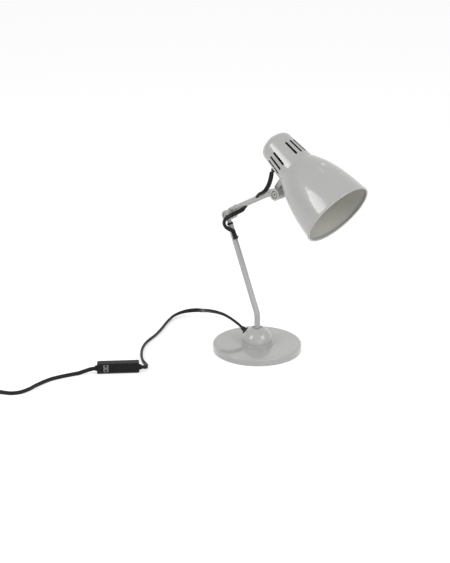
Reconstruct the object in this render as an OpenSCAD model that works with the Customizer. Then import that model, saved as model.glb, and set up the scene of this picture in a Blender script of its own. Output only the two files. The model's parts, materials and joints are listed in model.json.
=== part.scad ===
// Desk lamp: a round weighted base, a leaning stem, a short arm and a bell shade on friction joints.
// All sizes are millimetres. Z is up, the arm reaches along X and the origin lies under the base.

/* [Base] */
// Diameter of the base
base_d = 150; // [135:1:180]
// Height of the base with its pad
base_h = 12.5; // [11.5:0.5:16]
// Radius of the base's upper edge
base_edge_r = 3; // [2.5:0.5:4]
// Sheet thickness of the base cover
base_sheet = 1.2; // [0.8:0.1:1.5]
// Thickness of the soft pad
pad_t = 1.6; // [1:0.1:2.5]
// Gap between the cover's rim and the table
rim_lift = 0.8; // [0.4:0.1:1.2]

/* [Dome] */
// Outside radius of the dome
dome_r = 26; // [25:0.5:29]
// Height of the dome's centre above the base cover
dome_lift = 3; // [1:0.5:5]
// Wall of the dome
dome_wall = 1.5; // [1:0.1:2]
// Diameter of the dome's foot flange
foot_d = 55; // [54:0.5:62]
// Thickness of the foot flange
foot_t = 1.5; // [1:0.1:2.5]
// Fillet between the flange and the dome
foot_fillet = 1; // [0.5:0.1:1.4]
// Diameter of the opening round the stem
opening_d = 19; // [17:0.5:21]
// Depth of the bush below the edge of the opening
bush_recess = 1; // [0.5:0.1:2]

/* [Stem] */
// Outside diameter of the stem and arm tubes
tube_d = 10; // [9.6:0.2:10.4]
// Wall of the stem and arm tubes
tube_wall = 1; // [0.8:0.1:1.2]
// Height at which the stem's two straight axes cross
stem_bend_h = 63.5; // [55:0.5:80]
// Radius of the bend along the tube's axis
stem_bend_r = 30; // [20:1:45]
// Lean of the upper stem from upright, in degrees
stem_lean = 22.9; // [18:0.1:28]
// Length of the upper stem from the bend to the elbow's axis
stem_l = 175; // [150:1:220]
// Distance from the elbow's axis to the end of the stem tube
stem_gap = 17; // [14:0.5:20]
// Length of the knuckle's spigot inside the stem tube
spigot_l = 9; // [6:0.5:10]

/* [Knuckles] */
// Width of each knuckle along its screw
knuckle_w = 10; // [9.5:0.1:11]
// Thickness of the friction washer between two knuckles
washer_t = 1; // [0.8:0.1:1.5]
// Diameter of the elbow knuckles
elbow_d = 18; // [17:0.5:20]
// Diameter of the head joint's knuckles
head_d = 20; // [18:0.5:22]
// Diameter of the joint screws
screw_d = 6; // [5:0.5:6]
// Head diameter of the elbow screw
elbow_head_d = 8.5; // [8:0.5:9]
// Head diameter of the head joint's screw
head_head_d = 9.6; // [9:0.2:11]
// Height of the screw heads
screw_head_t = 3.2; // [2.5:0.1:3.6]
// Depth of the round recess for a screw head
recess_depth = 3.8; // [3.6:0.1:4.4]
// Width across the flats of the hexagon nuts
nut_af = 9; // [8.5:0.5:10]
// Thickness of the hexagon nuts
nut_t = 3.6; // [3:0.1:4]
// Height of the arm tube's axis over the line between the two joints
arm_offset = 6; // [5.5:0.1:7]
// Depth of the arm tube in its sockets
socket_l = 6.5; // [5:0.5:9]

/* [Arm] */
// Distance between the elbow's and the head joint's axes
arm_l = 111.7; // [90:0.1:150]
// Rise of the arm above level, in degrees
arm_rise = 29.3; // [10:0.1:45]
// Distance of the lower cord hole from the elbow's axis
lower_hole_a = 36; // [32:0.5:40]
// Distance of the upper cord hole from the elbow's axis
upper_hole_a = 74.5; // [60:0.5:80]

/* [Shade] */
// Dip of the shade's axis below level, in degrees
shade_dip = 34.4; // [10:0.1:60]
// Distance of the head joint's axis past the end of the bell, along the shade
joint_past_bell = 1.8; // [0:0.1:6]
// Distance from the head joint up to the shade's axis
axis_above = 58.8; // [56:0.1:70]
// Diameter of the mouth over its rolled rim
mouth_d = 123; // [110:1:135]
// Diameter of the bead rolled at the mouth
bead_d = 3.5; // [3:0.1:4.5]
// Sheet thickness of the shade and the neck
shade_sheet = 1; // [0.8:0.1:1.3]
// Length of the bell from the mouth to the neck
bell_l = 105; // [96:1:112]
// How far the bell has drawn in at its belly
belly_draw = 2.9; // [1:0.1:5]
// Radius of the bell's shoulder before it turns in
shoulder_r = 52.6; // [48:0.1:56]
// Distance of the bell's shoulder from the mouth
shoulder_s = 74.6; // [66:0.1:80]

/* [Neck] */
// Diameter of the neck where it stands on the bell
neck_d = 65.6; // [62:0.2:70]
// Diameter of the neck before its rounded end
neck_end_d = 55.2; // [52:0.2:60]
// Length of the neck up to its rounded end
neck_l = 52; // [48:0.5:60]
// Depth of the rounded end
neck_end_l = 15.5; // [12:0.5:20]
// Diameter of the raised disc on the rounded end
plateau_d = 22; // [18:0.5:26]
// Height of the raised disc
plateau_t = 0.8; // [0.5:0.1:1.2]
// Length of the vent slots
slot_l = 28; // [20:0.5:32]
// Width of the vent slots
slot_w = 2.5; // [1.5:0.1:3.5]
// Distance from the neck's foot to the vent slots
slot_start = 10; // [9.5:0.5:13]
// Angle between the slots of a group, in degrees
slot_step = 19; // [14:0.5:22]
// Vent slots in a group
slots = 3; // [1:2:3]
// Turn of the slot pattern about the axis, in degrees
slot_turn = 3; // [-6:1:6]

/* [Lampholder] */
// Outside diameter of the lampholder
holder_d = 39; // [36:0.5:41]
// Bore of the screw shell that takes the bulb
shell_bore = 26.4; // [26:0.1:27]
// Length of the lampholder's skirt
skirt_l = 34; // [30:0.5:38]
// Distance of the lampholder's mouth behind the bell's foot on the neck
holder_start = 2; // [0:0.5:5]
// Length of the lampholder's cap
cap_l = 14; // [12:0.5:16]

/* [Cord and switch] */
// Width of the flat cord
cord_w = 5.4; // [5:0.1:5.6]
// Thickness of the flat cord
cord_t = 3.2; // [3:0.1:3.4]
// Length of the tapered boot on the dome
boot_l = 22; // [20:1:30]
// Length of the switch on the cord
switch_l = 64; // [60:1:70]
// Width of the switch's face
switch_w = 19; // [18:0.5:22]
// Thickness of the switch
switch_t = 12; // [11:0.5:14]
// Wall of the switch's shells
switch_wall = 1.6; // [1.2:0.1:2]
// Travel of the slider
slider_travel = 7; // [5:0.5:8]
// Loops in the coiled part of the cord
coil_turns = 5; // [3:1:7]
// Radius of the coil's smallest loop
coil_r = 24.5; // [22:0.5:32]
// Step between neighbouring loops
coil_step = 5.2; // [5.1:0.1:6]
// Rise from one layer of loops to the next
coil_rise = 6.2; // [6.1:0.1:7]
// Thickness of the ties round the coil
tie_t = 0.8; // [0.5:0.1:1.2]

/* [Hidden] */

$fn = 64;
paint = [0.69, 0.69, 0.68];
black = [0.17, 0.17, 0.18];
steel = [0.62, 0.62, 0.62];
// Gaps between a part that turns and what it turns in, on radii and on faces
run_gap = 0.05;
// Gap round a part that is dropped into a pocket
loose = 0.3;
// Overlap that lets a cutter pass right through a face
eps = 0.5;

cover_top = base_h;
dome_z = cover_top + dome_lift;
tube_r = tube_d / 2;
tube_bore = tube_r - tube_wall;
screw_r = screw_d / 2;
bore_r = screw_r + run_gap;
recess_gap = 1;

// The staircase of knuckles along Y
arm_y = knuckle_w + washer_t;
head_y = 2 * arm_y;
elbow = [-stem_l * sin(stem_lean), 0, stem_bend_h + stem_l * cos(stem_lean)];
head = elbow + [arm_l * cos(arm_rise), 0, arm_l * sin(arm_rise)];

module in_stem() translate(elbow) rotate([0, -stem_lean, 0]) children();
module in_arm() translate(elbow + [0, arm_y, 0]) rotate([0, -arm_rise, 0]) children();
module at_arm_end() in_arm() translate([arm_l, 0, 0]) children();
module in_head() translate(head + [0, head_y, 0]) rotate([0, shade_dip, 0]) children();
// On the shade's axis Z runs back from the mouth and X points up, away from the bracket
mouth_ahead = bell_l + joint_past_bell;
module on_axis() in_head() translate([mouth_ahead, 0, axis_above]) rotate([0, -90, 0]) children();
// A cylinder along Y from y0 to y1
module y_cylinder(y0, y1, r, sides = $fn) translate([0, y0, 0])
    rotate([-90, 0, 0]) cylinder(h = y1 - y0, r = r, $fn = sides);

// Profile helpers: points of an arc, a Bezier curve and its inward offset
function arc(c, r, from, to, steps) =
    [for (i = [0 : steps]) let (a = from + (to - from) * i / steps) c + r * [cos(a), sin(a)]];
function bezier(p, t) =
    p[0] * (1 - t) ^ 3 + 3 * p[1] * t * (1 - t) ^ 2 + 3 * p[2] * t ^ 2 * (1 - t) + p[3] * t ^ 3;
function bezier_way(p, t) =
    (p[1] - p[0]) * (1 - t) ^ 2 + 2 * (p[2] - p[1]) * t * (1 - t) + (p[3] - p[2]) * t ^ 2;
function unit(v) = v / norm(v);
function inside(p, t, wall) =
    let (w = unit(bezier_way(p, t))) bezier(p, t) + wall * [-abs(w[1]), -abs(w[0])];

// A flat cord swept along its route. A fourth value in a point turns the flat side, in degrees.
// Lying cords keep their wide side level, and upright ones keep it along Y.
function way(p, i) =
    unit(unit(p[min(i + 1, len(p) - 1)] - p[min(i, len(p) - 2)]) + unit(p[max(i, 1)] - p[max(i - 1, 0)]));
function wide(t, upright) = upright ? unit([0, 1, 0] - t[1] * t) : unit(cross(t, [0, 0, 1]));
function ring(c, t, turn, upright, sides) =
    let (
        w = wide(t, upright),
        n = cross(w, t),
        edge = cos(180 / sides),
        thick = sides == 8 ? edge : 1
    )
    [for (k = [0 : sides - 1])
        let (
            a = 180 / sides + 360 * k / sides,
            x = cord_w / 2 / edge * cos(a),
            y = cord_t / 2 / thick * sin(a)
        )
        c + w * (x * cos(turn) - y * sin(turn)) + n * (x * sin(turn) + y * cos(turn))];
module sweep(route, upright = false, sides = 8) {
    p = [for (q = route) [q[0], q[1], q[2]]];
    turns = [for (q = route) len(q) > 3 ? q[3] : 0];
    last = len(p) - 1;
    points = [for (i = [0 : last]) each ring(p[i], way(p, i), turns[i], upright, sides)];
    sides_faces = [for (i = [0 : last - 1], k = [0 : sides - 1])
        let (a = i * sides + k, b = i * sides + (k + 1) % sides)
        each [[a, b, a + sides], [b, b + sides, a + sides]]];
    first_cap = [for (k = [sides - 1 : -1 : 0]) k];
    last_cap = [for (k = [0 : sides - 1]) last * sides + k];
    polyhedron(points, concat([first_cap], sides_faces, [last_cap]));
}

// Base
lug_r = 3.4;
lug_h = 9;
lug_screw_r = 1.5;
lug_ring = dome_r - dome_wall - lug_r + 0.8;
module at_lugs() for (a = [0 : 120 : 240]) rotate([0, 0, a]) translate([lug_ring, 0, 0]) children();
module rounded_plate(r, h, edge) rotate_extrude() {
    square([r - edge, h]);
    square([r, h - edge]);
    translate([r - edge, h - edge]) circle(edge);
}

module base_cover() color(paint) difference() {
    translate([0, 0, rim_lift]) rounded_plate(base_d / 2, base_h - rim_lift, base_edge_r);
    translate([0, 0, rim_lift - eps])
        rounded_plate(base_d / 2 - base_sheet, base_h - rim_lift - base_sheet + eps, base_edge_r - base_sheet);
    at_lugs() cylinder(h = base_h + eps, r = lug_screw_r + loose);
}

screw_pocket = 4;
module base_weight() color([0.3, 0.3, 0.31]) difference() {
    translate([0, 0, pad_t])
        rounded_plate(base_d / 2 - base_sheet - loose, base_h - base_sheet - pad_t, base_edge_r);
    at_lugs() cylinder(h = base_h, r = lug_screw_r + loose);
    at_lugs() cylinder(h = pad_t + screw_pocket, r = 2 * lug_screw_r + loose);
}

module base_pad() color([0.1, 0.1, 0.1]) cylinder(h = pad_t, r = base_d / 2 - base_sheet - loose);

// Dome
opening_z = dome_z + sqrt(dome_r ^ 2 - (opening_d / 2) ^ 2);
foot_z = cover_top + foot_t;
grommet_turn = 188;
grommet_rise = 28.4;
grommet_r = 4.6;
module at_grommet() translate([0, 0, dome_z]) rotate([0, 0, grommet_turn])
    rotate([0, 90 - grommet_rise, 0]) children();
module dome_ball(r) translate([0, 0, dome_z]) sphere(r, $fn = 96);

module dome() color(paint) difference() {
    union() {
        difference() {
            union() {
                intersection() {
                    dome_ball(dome_r);
                    translate([0, 0, cover_top]) cylinder(h = 2 * dome_r, r = dome_r + 1);
                }
                translate([0, 0, cover_top]) rounded_plate(foot_d / 2, foot_t, 0.5);
                rotate_extrude() translate([sqrt(dome_r ^ 2 - (foot_z - dome_z) ^ 2) - 0.1, foot_z - 0.01])
                    difference() {
                        square(foot_fillet);
                        translate([foot_fillet, foot_fillet]) circle(foot_fillet);
                    }
            }
            dome_ball(dome_r - dome_wall);
        }
        intersection() {
            at_lugs() translate([0, 0, cover_top]) cylinder(h = lug_h, r = lug_r);
            dome_ball(dome_r - dome_wall / 2);
        }
    }
    cylinder(h = 3 * dome_r, r = opening_d / 2);
    at_grommet() cylinder(h = 2 * dome_r, r = grommet_r);
    at_lugs() cylinder(h = cover_top + lug_h - 1, r = lug_screw_r);
}

module dome_screws() color(steel) at_lugs() translate([0, 0, pad_t + screw_pocket]) {
    cylinder(h = cover_top + lug_h - 1.5 - pad_t - screw_pocket, r = lug_screw_r);
    mirror([0, 0, 1]) difference() {
        cylinder(h = 2.4, r = 2 * lug_screw_r - 0.2);
        translate([0, 0, 1.2]) cylinder(h = 2, r = lug_screw_r, $fn = 6);
    }
}

// Swivel: a cup on the cover carries the collar of the stem, and a bush guides the tube above it
cup_r = 13;
cup_wall = 2;
ledge_h = 6.5;
ledge_t = 1.5;
ledge_z = cover_top + ledge_h;
collar_t = 5;
collar_r = 8.6;
stop_w = 1.6;
cup_top = ledge_z + collar_t + 2 * run_gap;
window_w = 9;
tongue_reach = cup_r - cup_wall - 0.5;

module swivel_cup() color(black) {
    difference() {
        translate([0, 0, cover_top]) cylinder(h = cup_top - cover_top, r = cup_r);
        translate([0, 0, cover_top - eps]) cylinder(h = ledge_h - ledge_t + eps, r = cup_r - cup_wall);
        cylinder(h = cup_top, r = tube_r + 1);
        translate([0, 0, ledge_z]) cylinder(h = dome_r, r = cup_r - cup_wall);
        rotate([0, 0, grommet_turn]) translate([0, -window_w / 2, cover_top - eps])
            cube([cup_r + 1, window_w, ledge_h - ledge_t + eps]);
    }
    rotate([0, 0, 180]) translate([collar_r + 0.6, -stop_w / 2, ledge_z - 0.1])
        cube([cup_r - cup_wall / 2 - collar_r - 0.6, stop_w, collar_t - 0.3]);
}

module swivel_bush() color(black) difference() {
    union() {
        intersection() {
            translate([0, 0, cup_top]) cylinder(h = dome_r, r = cup_r);
            dome_ball(dome_r - dome_wall);
        }
        translate([0, 0, cup_top]) cylinder(h = opening_z - bush_recess - cup_top, r = opening_d / 2);
    }
    cylinder(h = 2 * dome_r, r = tube_r + run_gap);
    translate([0, 0, opening_z - bush_recess - 0.6]) cylinder(h = 2, r1 = tube_r + run_gap, r2 = tube_r + 2);
}

boot_end_r = cord_w / 2 + 0.6;
boot_ribs = 6;
module ribbed_boot(r1, r2, length) rotate_extrude() polygon(concat(
    [[0, 0]],
    [for (i = [0 : boot_ribs - 1])
        let (
            step = length / boot_ribs,
            a = r1 + (r2 - r1) * i / boot_ribs,
            b = r1 + (r2 - r1) * (i + 1) / boot_ribs
        )
        each [[a, i * step], [b + 0.2, (i + 0.6) * step], [b - 0.5, (i + 0.7) * step], [b - 0.5, (i + 1) * step]]],
    [[0, length]]
));
flange_r = grommet_r + 1.9;
lock_r = grommet_r + 0.8;
flange_top = dome_r + 1.2;
shell_in = dome_r - dome_wall;
module dome_grommet() color(black) at_grommet() {
    rotate_extrude() polygon([
        [0, shell_in - 2.4], [lock_r, shell_in - 2.4], [lock_r, sqrt(shell_in ^ 2 - lock_r ^ 2)],
        [grommet_r, sqrt(shell_in ^ 2 - grommet_r ^ 2)], [grommet_r, sqrt(dome_r ^ 2 - grommet_r ^ 2)],
        [flange_r, sqrt(dome_r ^ 2 - flange_r ^ 2)], [flange_r, flange_top - 0.5],
        [flange_r - 0.5, flange_top], [0, flange_top],
    ]);
    translate([0, 0, flange_top - 0.1]) ribbed_boot(grommet_r, boot_end_r, boot_l);
}

// Stem
bend_cut = stem_bend_r * tan(stem_lean / 2);
stem_foot = ledge_z + run_gap;
hood_at = -36.3;
hood_turn = -30;
// The wall thins a little where the tube is bent, and each straight end reaches a little way into the bend
bend_thin = 0.02;
bend_lap = 0.5;
module tube_ring(thin) difference() {
    circle(tube_r - thin);
    circle(tube_bore + thin);
}
module stem_tube() color(paint) {
    translate([0, 0, stem_foot]) linear_extrude(stem_bend_h - bend_cut - stem_foot + bend_lap) tube_ring(0);
    translate([-stem_bend_r, 0, stem_bend_h - bend_cut]) rotate([90, 0, 0])
        rotate_extrude(angle = stem_lean) translate([stem_bend_r, 0]) tube_ring(bend_thin);
    in_stem() difference() {
        translate([0, 0, bend_cut - bend_lap - stem_l])
            linear_extrude(stem_l - bend_cut - stem_gap + bend_lap) tube_ring(0);
        translate([0, 0, hood_at]) rotate([0, 0, hood_turn]) hood_plug(hood_r, eps);
    }
}

module stem_collar() color(steel) translate([0, 0, stem_foot]) difference() {
    union() {
        cylinder(h = collar_t, r = collar_r);
        translate([0, -stop_w / 2, 0]) cube([tongue_reach, stop_w, collar_t]);
    }
    translate([0, 0, -eps]) cylinder(h = collar_t + 2 * eps, r = tube_r);
}

// A hooded grommet in the wall of a tube along Z. Its mouth opens along +Z and leans out towards +X.
hood_r = 3.5;
hood_tilt = 35;
hood_l = 4.2;
bush_r = 3;
bush_tilt = 35;
bush_l = 2.2;
module hood_plug(r, over) rotate([0, 90, 0]) translate([0, 0, cord_t / 2])
    cylinder(h = tube_r - cord_t / 2 + over, r = r - 0.4);
module hood(r, tilt, length) color(black) {
    difference() {
        hull() {
            translate([tube_r - 4.3 + r, 0, -0.85 * r]) sphere(r, $fn = 24);
            translate([tube_r - 3.3 + r, 0, 0.4 * r]) rotate([0, tilt, 0]) cylinder(h = length, r = r, $fn = 32);
        }
        translate([0, 0, -3 * r]) cylinder(h = 6 * r, r = tube_r);
    }
    intersection() {
        hood_plug(r, 1);
        translate([0, 0, -2 * r]) cylinder(h = 4 * r, r = tube_r + 0.6);
    }
}
module stem_boot() in_stem() translate([0, 0, hood_at]) rotate([0, 0, hood_turn]) hood(hood_r, hood_tilt, hood_l);

// Knuckles, seen with the joint's axis along Y
lip_t = 2.5;
lip_step = 0.5;
nut_r = nut_af / 2 / cos(30);
nut_pocket = nut_t + 0.4;
module screw_way(y0, y1) y_cylinder(y0 - eps, y1 + eps, bore_r);
module joint_screw(y0, y1, head_r) color([0.8, 0.78, 0.72]) difference() {
    union() {
        y_cylinder(y0 + recess_depth - screw_head_t, y0 + recess_depth, head_r);
        y_cylinder(y0 + recess_depth - 0.1, y1, screw_r);
    }
    y_cylinder(y0 - eps, y0 + recess_depth - screw_head_t + 1.9, screw_r * 0.66, 6);
}
module joint_nut(y1) color(steel) difference() {
    y_cylinder(y1 - nut_pocket + run_gap, y1 - nut_pocket + run_gap + nut_t, nut_r, 6);
    screw_way_tight(y1);
}
module screw_way_tight(y1) y_cylinder(y1 - 2 * nut_pocket, y1 + nut_pocket, screw_r);
module joint_washer(y0, r) color([0.25, 0.25, 0.26]) difference() {
    y_cylinder(y0, y0 + washer_t - run_gap, r);
    screw_way(y0, y0 + washer_t);
}

module stem_knuckle() color(paint) in_stem() difference() {
    union() {
        y_cylinder(-knuckle_w / 2, -knuckle_w / 2 + lip_t, elbow_d / 2);
        y_cylinder(-knuckle_w / 2, knuckle_w / 2, elbow_d / 2 - lip_step);
        translate([0, 0, -stem_gap - spigot_l]) cylinder(h = stem_gap + spigot_l, r = tube_bore);
    }
    y_cylinder(-knuckle_w / 2 - eps, -knuckle_w / 2 + recess_depth, elbow_head_d / 2 + recess_gap);
    screw_way(-knuckle_w / 2, knuckle_w / 2);
}

elbow_far = arm_y + knuckle_w / 2;
module elbow_screw() translate(elbow) joint_screw(-knuckle_w / 2, elbow_far - nut_pocket + nut_t, elbow_head_d / 2);
module elbow_washer() translate(elbow) joint_washer(knuckle_w / 2, elbow_d / 2 - 1);
module elbow_nut() translate(elbow) joint_nut(elbow_far);

// An arm knuckle round the origin, with the socket of the arm tube towards +X
socket_r = tube_r + washer_t - 0.1;
socket_wall = 1;
function reach(d) = d / 2 - 0.8;
module arm_knuckle(d) {
    shoulder = arm_offset + socket_r;
    y_cylinder(-knuckle_w / 2, knuckle_w / 2, d / 2);
    intersection() {
        rotate([90, 0, 0]) linear_extrude(knuckle_w, center = true) polygon([
            [0, 0],
            d / 2 * [-sin(12), cos(12)],
            [reach(d) - 0.5, shoulder],
            [reach(d) + 1.5, shoulder],
            [reach(d) + 1.5, arm_offset - socket_r],
            d / 2 * [cos(25), -sin(25)],
        ]);
        translate([-d, 0, arm_offset]) rotate([0, 90, 0]) cylinder(h = 3 * d, r = socket_r + 0.9);
    }
    translate([reach(d), 0, arm_offset]) rotate([0, 90, 0]) cylinder(h = socket_wall + socket_l, r = socket_r);
}
module arm_tube_way(d) translate([reach(d) + socket_wall, 0, arm_offset]) rotate([0, 90, 0])
    cylinder(h = arm_l, r = tube_r);

module arm_rear_knuckle() color(paint) in_arm() difference() {
    arm_knuckle(elbow_d);
    arm_tube_way(elbow_d);
    y_cylinder(knuckle_w / 2 - nut_pocket, knuckle_w, nut_r + 0.5);
    screw_way(-knuckle_w / 2, knuckle_w / 2);
}

module arm_front_knuckle() color(paint) at_arm_end() difference() {
    mirror([1, 0, 0]) arm_knuckle(head_d);
    mirror([1, 0, 0]) arm_tube_way(head_d);
    y_cylinder(-knuckle_w, -knuckle_w / 2 + recess_depth, head_head_d / 2 + recess_gap + 0.45);
    screw_way(-knuckle_w / 2, knuckle_w / 2);
}

arm_tube_a = reach(elbow_d) + socket_wall;
arm_tube_b = arm_l - reach(head_d) - socket_wall;
lower_turn = 162;
upper_turn = 49;
// On the arm tube Z runs along the tube and X points up from it
module on_arm_tube(a) in_arm() translate([a, 0, arm_offset]) rotate([0, 90, 0]) rotate([0, 0, 180]) children();
module at_upper_hole() on_arm_tube(upper_hole_a) rotate([0, 0, upper_turn]) children();
module at_lower_hole() on_arm_tube(lower_hole_a) rotate([0, 0, lower_turn]) mirror([0, 0, 1]) children();

module arm_tube() color(paint) difference() {
    on_arm_tube(arm_tube_a) cylinder(h = arm_tube_b - arm_tube_a, r = tube_r);
    on_arm_tube(arm_tube_a - eps) cylinder(h = arm_tube_b - arm_tube_a + 2 * eps, r = tube_bore);
    at_upper_hole() hood_plug(bush_r, eps);
    at_lower_hole() hood_plug(bush_r, eps);
}

module arm_bushes() {
    at_upper_hole() hood(bush_r, bush_tilt, bush_l);
    at_lower_hole() hood(bush_r, bush_tilt, bush_l);
}

// Head joint
head_near = arm_y - knuckle_w / 2;
head_far = head_y + knuckle_w / 2;
module head_screw() translate(head) joint_screw(head_near, head_far - nut_pocket + nut_t, head_head_d / 2);
module head_washer() translate(head) joint_washer(arm_y + knuckle_w / 2, head_d / 2 - 1.5);
module head_nut() translate(head) joint_nut(head_far);

bar_rear = 13.2;
bar_front = 4.7;
foot_w = 14;
foot_sheet = 2.4;
foot_l = 26;
foot_start = 3;
neck_r = neck_d / 2;
neck_end_r = neck_end_d / 2;
function neck_at(s) = neck_r + (neck_end_r - neck_r) * (s - bell_l) / neck_l;
module neck_cone(grow) translate([0, 0, bell_l]) cylinder(h = neck_l, r1 = neck_r + grow, r2 = neck_end_r + grow);
module from_axis() translate([mouth_ahead, 0, axis_above]) rotate([0, -90, 0]) children();
rivet_at = [bell_l + 18.5, bell_l + 25];
module at_rivets() for (s = rivet_at) on_axis() translate([-neck_at(s), 0, s]) rotate([0, -90, 0]) children();

module shade_bracket() color(paint) difference() {
    in_head() difference() {
        union() {
            y_cylinder(-knuckle_w / 2, knuckle_w / 2, head_d / 2);
            rotate([90, 0, 0]) linear_extrude(knuckle_w, center = true) polygon([
                [-bar_front, -head_d * 0.42],
                [-head_d * 0.45, -head_d * 0.2],
                [-bar_rear, head_d * 0.2],
                [-bar_rear, axis_above],
                [-bar_front, axis_above],
            ]);
            from_axis() intersection() {
                neck_cone(foot_sheet);
                translate([-neck_r - 9, -foot_w / 2, bell_l + foot_start]) cube([20, foot_w, foot_l]);
            }
        }
        from_axis() neck_cone(0);
        y_cylinder(-knuckle_w, knuckle_w, bore_r);
        y_cylinder(knuckle_w / 2 - nut_pocket, knuckle_w, nut_r + 0.5);
        from_axis() translate([0, 0, bell_l]) cylinder(h = neck_l, r = neck_end_r - 3);
    }
    at_rivets() cylinder(h = 10, r = 1.5);
}

module bracket_screws() color(steel) at_rivets() {
    translate([0, 0, -shade_sheet - 1.2]) cylinder(h = shade_sheet + foot_sheet + 1.6, r = 1.5);
    translate([0, 0, -shade_sheet - 1.4]) cylinder(h = 1.2, r = 2.6);
    translate([0, 0, foot_sheet + 0.1]) cylinder(h = 1.3, r1 = 2.8, r2 = 2);
}

// Neck
gland_turn = -157.3;
gland_s = bell_l + 29;
gland_r = 3.2;
slot_groups = [-90, 0, 90];
end_z = bell_l + neck_l;
plateau_r = plateau_d / 2;
round_a = acos(plateau_r / neck_end_r);
plateau_z = end_z + neck_end_l * sin(round_a) + plateau_t;
module at_gland() on_axis() rotate([0, 0, gland_turn]) translate([0, 0, gland_s]) rotate([0, 90, 0]) children();
slot_r = slot_w / 2;
module slot_cut() rotate([0, 90, 0]) translate([0, 0, neck_end_r - 4])
    linear_extrude(neck_r - neck_end_r + 8) polygon(concat(
        arc([-slot_r, 0], slot_r, -90, 90, 6),
        arc([slot_r - slot_l, 0], slot_r, 90, 270, 6)
    ));
end_steps = 8;
function end_curve(inset) =
    [for (i = [0 : end_steps]) let (a = round_a * i / end_steps)
        [(neck_end_r - inset) * cos(a), end_z + (neck_end_l - inset) * sin(a)]];

module neck_housing() color(paint) difference() {
    on_axis() difference() {
        rotate_extrude($fn = 96) polygon(concat(
            [[neck_r - shade_sheet, bell_l], [neck_r, bell_l]],
            end_curve(0),
            [[plateau_r, plateau_z], [0, plateau_z], [0, plateau_z - shade_sheet]],
            [[plateau_r - shade_sheet, plateau_z - shade_sheet]],
            [for (i = [end_steps : -1 : 0]) end_curve(shade_sheet)[i]]
        ));
        for (g = slot_groups, i = [0 : slots - 1])
            rotate([0, 0, g - slot_turn + (i - (slots - 1) / 2) * slot_step])
                translate([0, 0, bell_l + slot_start]) slot_cut();
    }
    at_gland() cylinder(h = neck_r + 5, r = gland_r);
    at_rivets() translate([0, 0, -5]) cylinder(h = 10, r = 1.5);
}

gland_at = neck_at(gland_s);
module neck_gland() color(black) {
    difference() {
        at_gland() translate([0, 0, gland_at - 3]) cylinder(h = 4.6, r = gland_r + 1.2);
        on_axis() neck_cone(0);
    }
    at_gland() translate([0, 0, gland_at - 4]) cylinder(h = 5, r = gland_r);
    at_gland() translate([0, 0, gland_at + 1.5]) cylinder(h = 2.5, r1 = gland_r + 0.9, r2 = gland_r);
}

// Bell
mouth_r = mouth_d / 2;
bead_r = bead_d / 2;
collar_l = 6;
bell = [[mouth_r - 0.7, bead_r], [mouth_r - 0.7 - belly_draw, 32.3], [shoulder_r, shoulder_s], [neck_r, bell_l]];
function collar_at(z) = neck_at(z) - shade_sheet - run_gap;
module shade() color(paint) on_axis() rotate_extrude($fn = 128) {
    polygon(concat(
        [for (i = [0 : 16]) bezier(bell, i / 16)],
        [[collar_at(bell_l), bell_l], [collar_at(bell_l + collar_l), bell_l + collar_l]],
        [[collar_at(bell_l + collar_l) - shade_sheet, bell_l + collar_l]],
        [[collar_at(bell_l) - shade_sheet, bell_l - shade_sheet]],
        [for (i = [16 : -1 : 0]) inside(bell, i / 16, shade_sheet)]
    ));
    translate([mouth_r - bead_r, bead_r]) circle(bead_r);
}

// Lampholder
holder_r = holder_d / 2;
shell_r = shell_bore / 2;
mouth_s = bell_l + holder_start;
skirt_wall = 1.6;
insert_t = 8;
cap_s = mouth_s + skirt_l;
web_s = cap_s + cap_l;
web_t = 1.5;
web_w = 14;
holder_screw_r = 2.5;
inner_z = plateau_z - shade_sheet;
entry_s = cap_s + 7;

module holder_bracket() color(steel) on_axis() difference() {
    union() {
        translate([-web_w / 2, -6, web_s]) cube([web_w, 12, web_t]);
        translate([web_w / 2 - web_t, -6, web_s]) cube([web_t, 12, inner_z - web_s]);
        translate([-web_w / 2, -6, inner_z - web_t]) cube([web_w, 12, web_t]);
    }
    translate([0, 0, web_s - 1]) cylinder(h = web_t + 2, r = holder_screw_r + run_gap);
}

module holder_screw() color(steel) on_axis() {
    translate([0, 0, web_s - 5]) cylinder(h = 5 + web_t + 4.5, r = holder_screw_r);
    translate([0, 0, web_s - 5]) cylinder(h = 3, r = 4.2);
    translate([0, 0, web_s + web_t]) cylinder(h = 3.5, r = 4.6, $fn = 6);
}

module lampholder_cap() color([0.93, 0.92, 0.88]) on_axis() difference() {
    union() {
        translate([0, 0, cap_s]) cylinder(h = cap_l - 4, r = holder_r);
        translate([0, 0, cap_s + cap_l - 4]) cylinder(h = 4, r1 = holder_r, r2 = holder_r - 4);
    }
    translate([0, 0, cap_s - 1]) cylinder(h = cap_l - 1, r = holder_r - 6);
    translate([0, 0, cap_s]) cylinder(h = cap_l + 1, r = holder_screw_r + run_gap);
}

module lampholder_skirt() color([0.93, 0.92, 0.88]) on_axis() difference() {
    translate([0, 0, mouth_s]) cylinder(h = skirt_l, r = holder_r);
    translate([0, 0, mouth_s - 1]) cylinder(h = skirt_l + 2, r = shell_r + 1.2);
    translate([0, 0, mouth_s + 2]) cylinder(h = skirt_l, r = holder_r - skirt_wall);
}

insert_s = cap_s - insert_t;
module holder_insert() color([0.9, 0.89, 0.86]) on_axis() difference() {
    translate([0, 0, insert_s]) cylinder(h = insert_t, r = holder_r - skirt_wall);
    translate([0, 0, insert_s - 1]) cylinder(h = 3, r = shell_r - 4);
}

module screw_shell() color([0.8, 0.66, 0.32]) on_axis() difference() {
    union() {
        translate([0, 0, mouth_s + 3]) cylinder(h = insert_s - mouth_s - 3, r = shell_r + 0.5);
        translate([0, 0, insert_s - 0.6]) cylinder(h = 0.6, r = holder_r - skirt_wall - 1);
    }
    translate([0, 0, mouth_s]) cylinder(h = skirt_l, r = shell_r);
}

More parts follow.
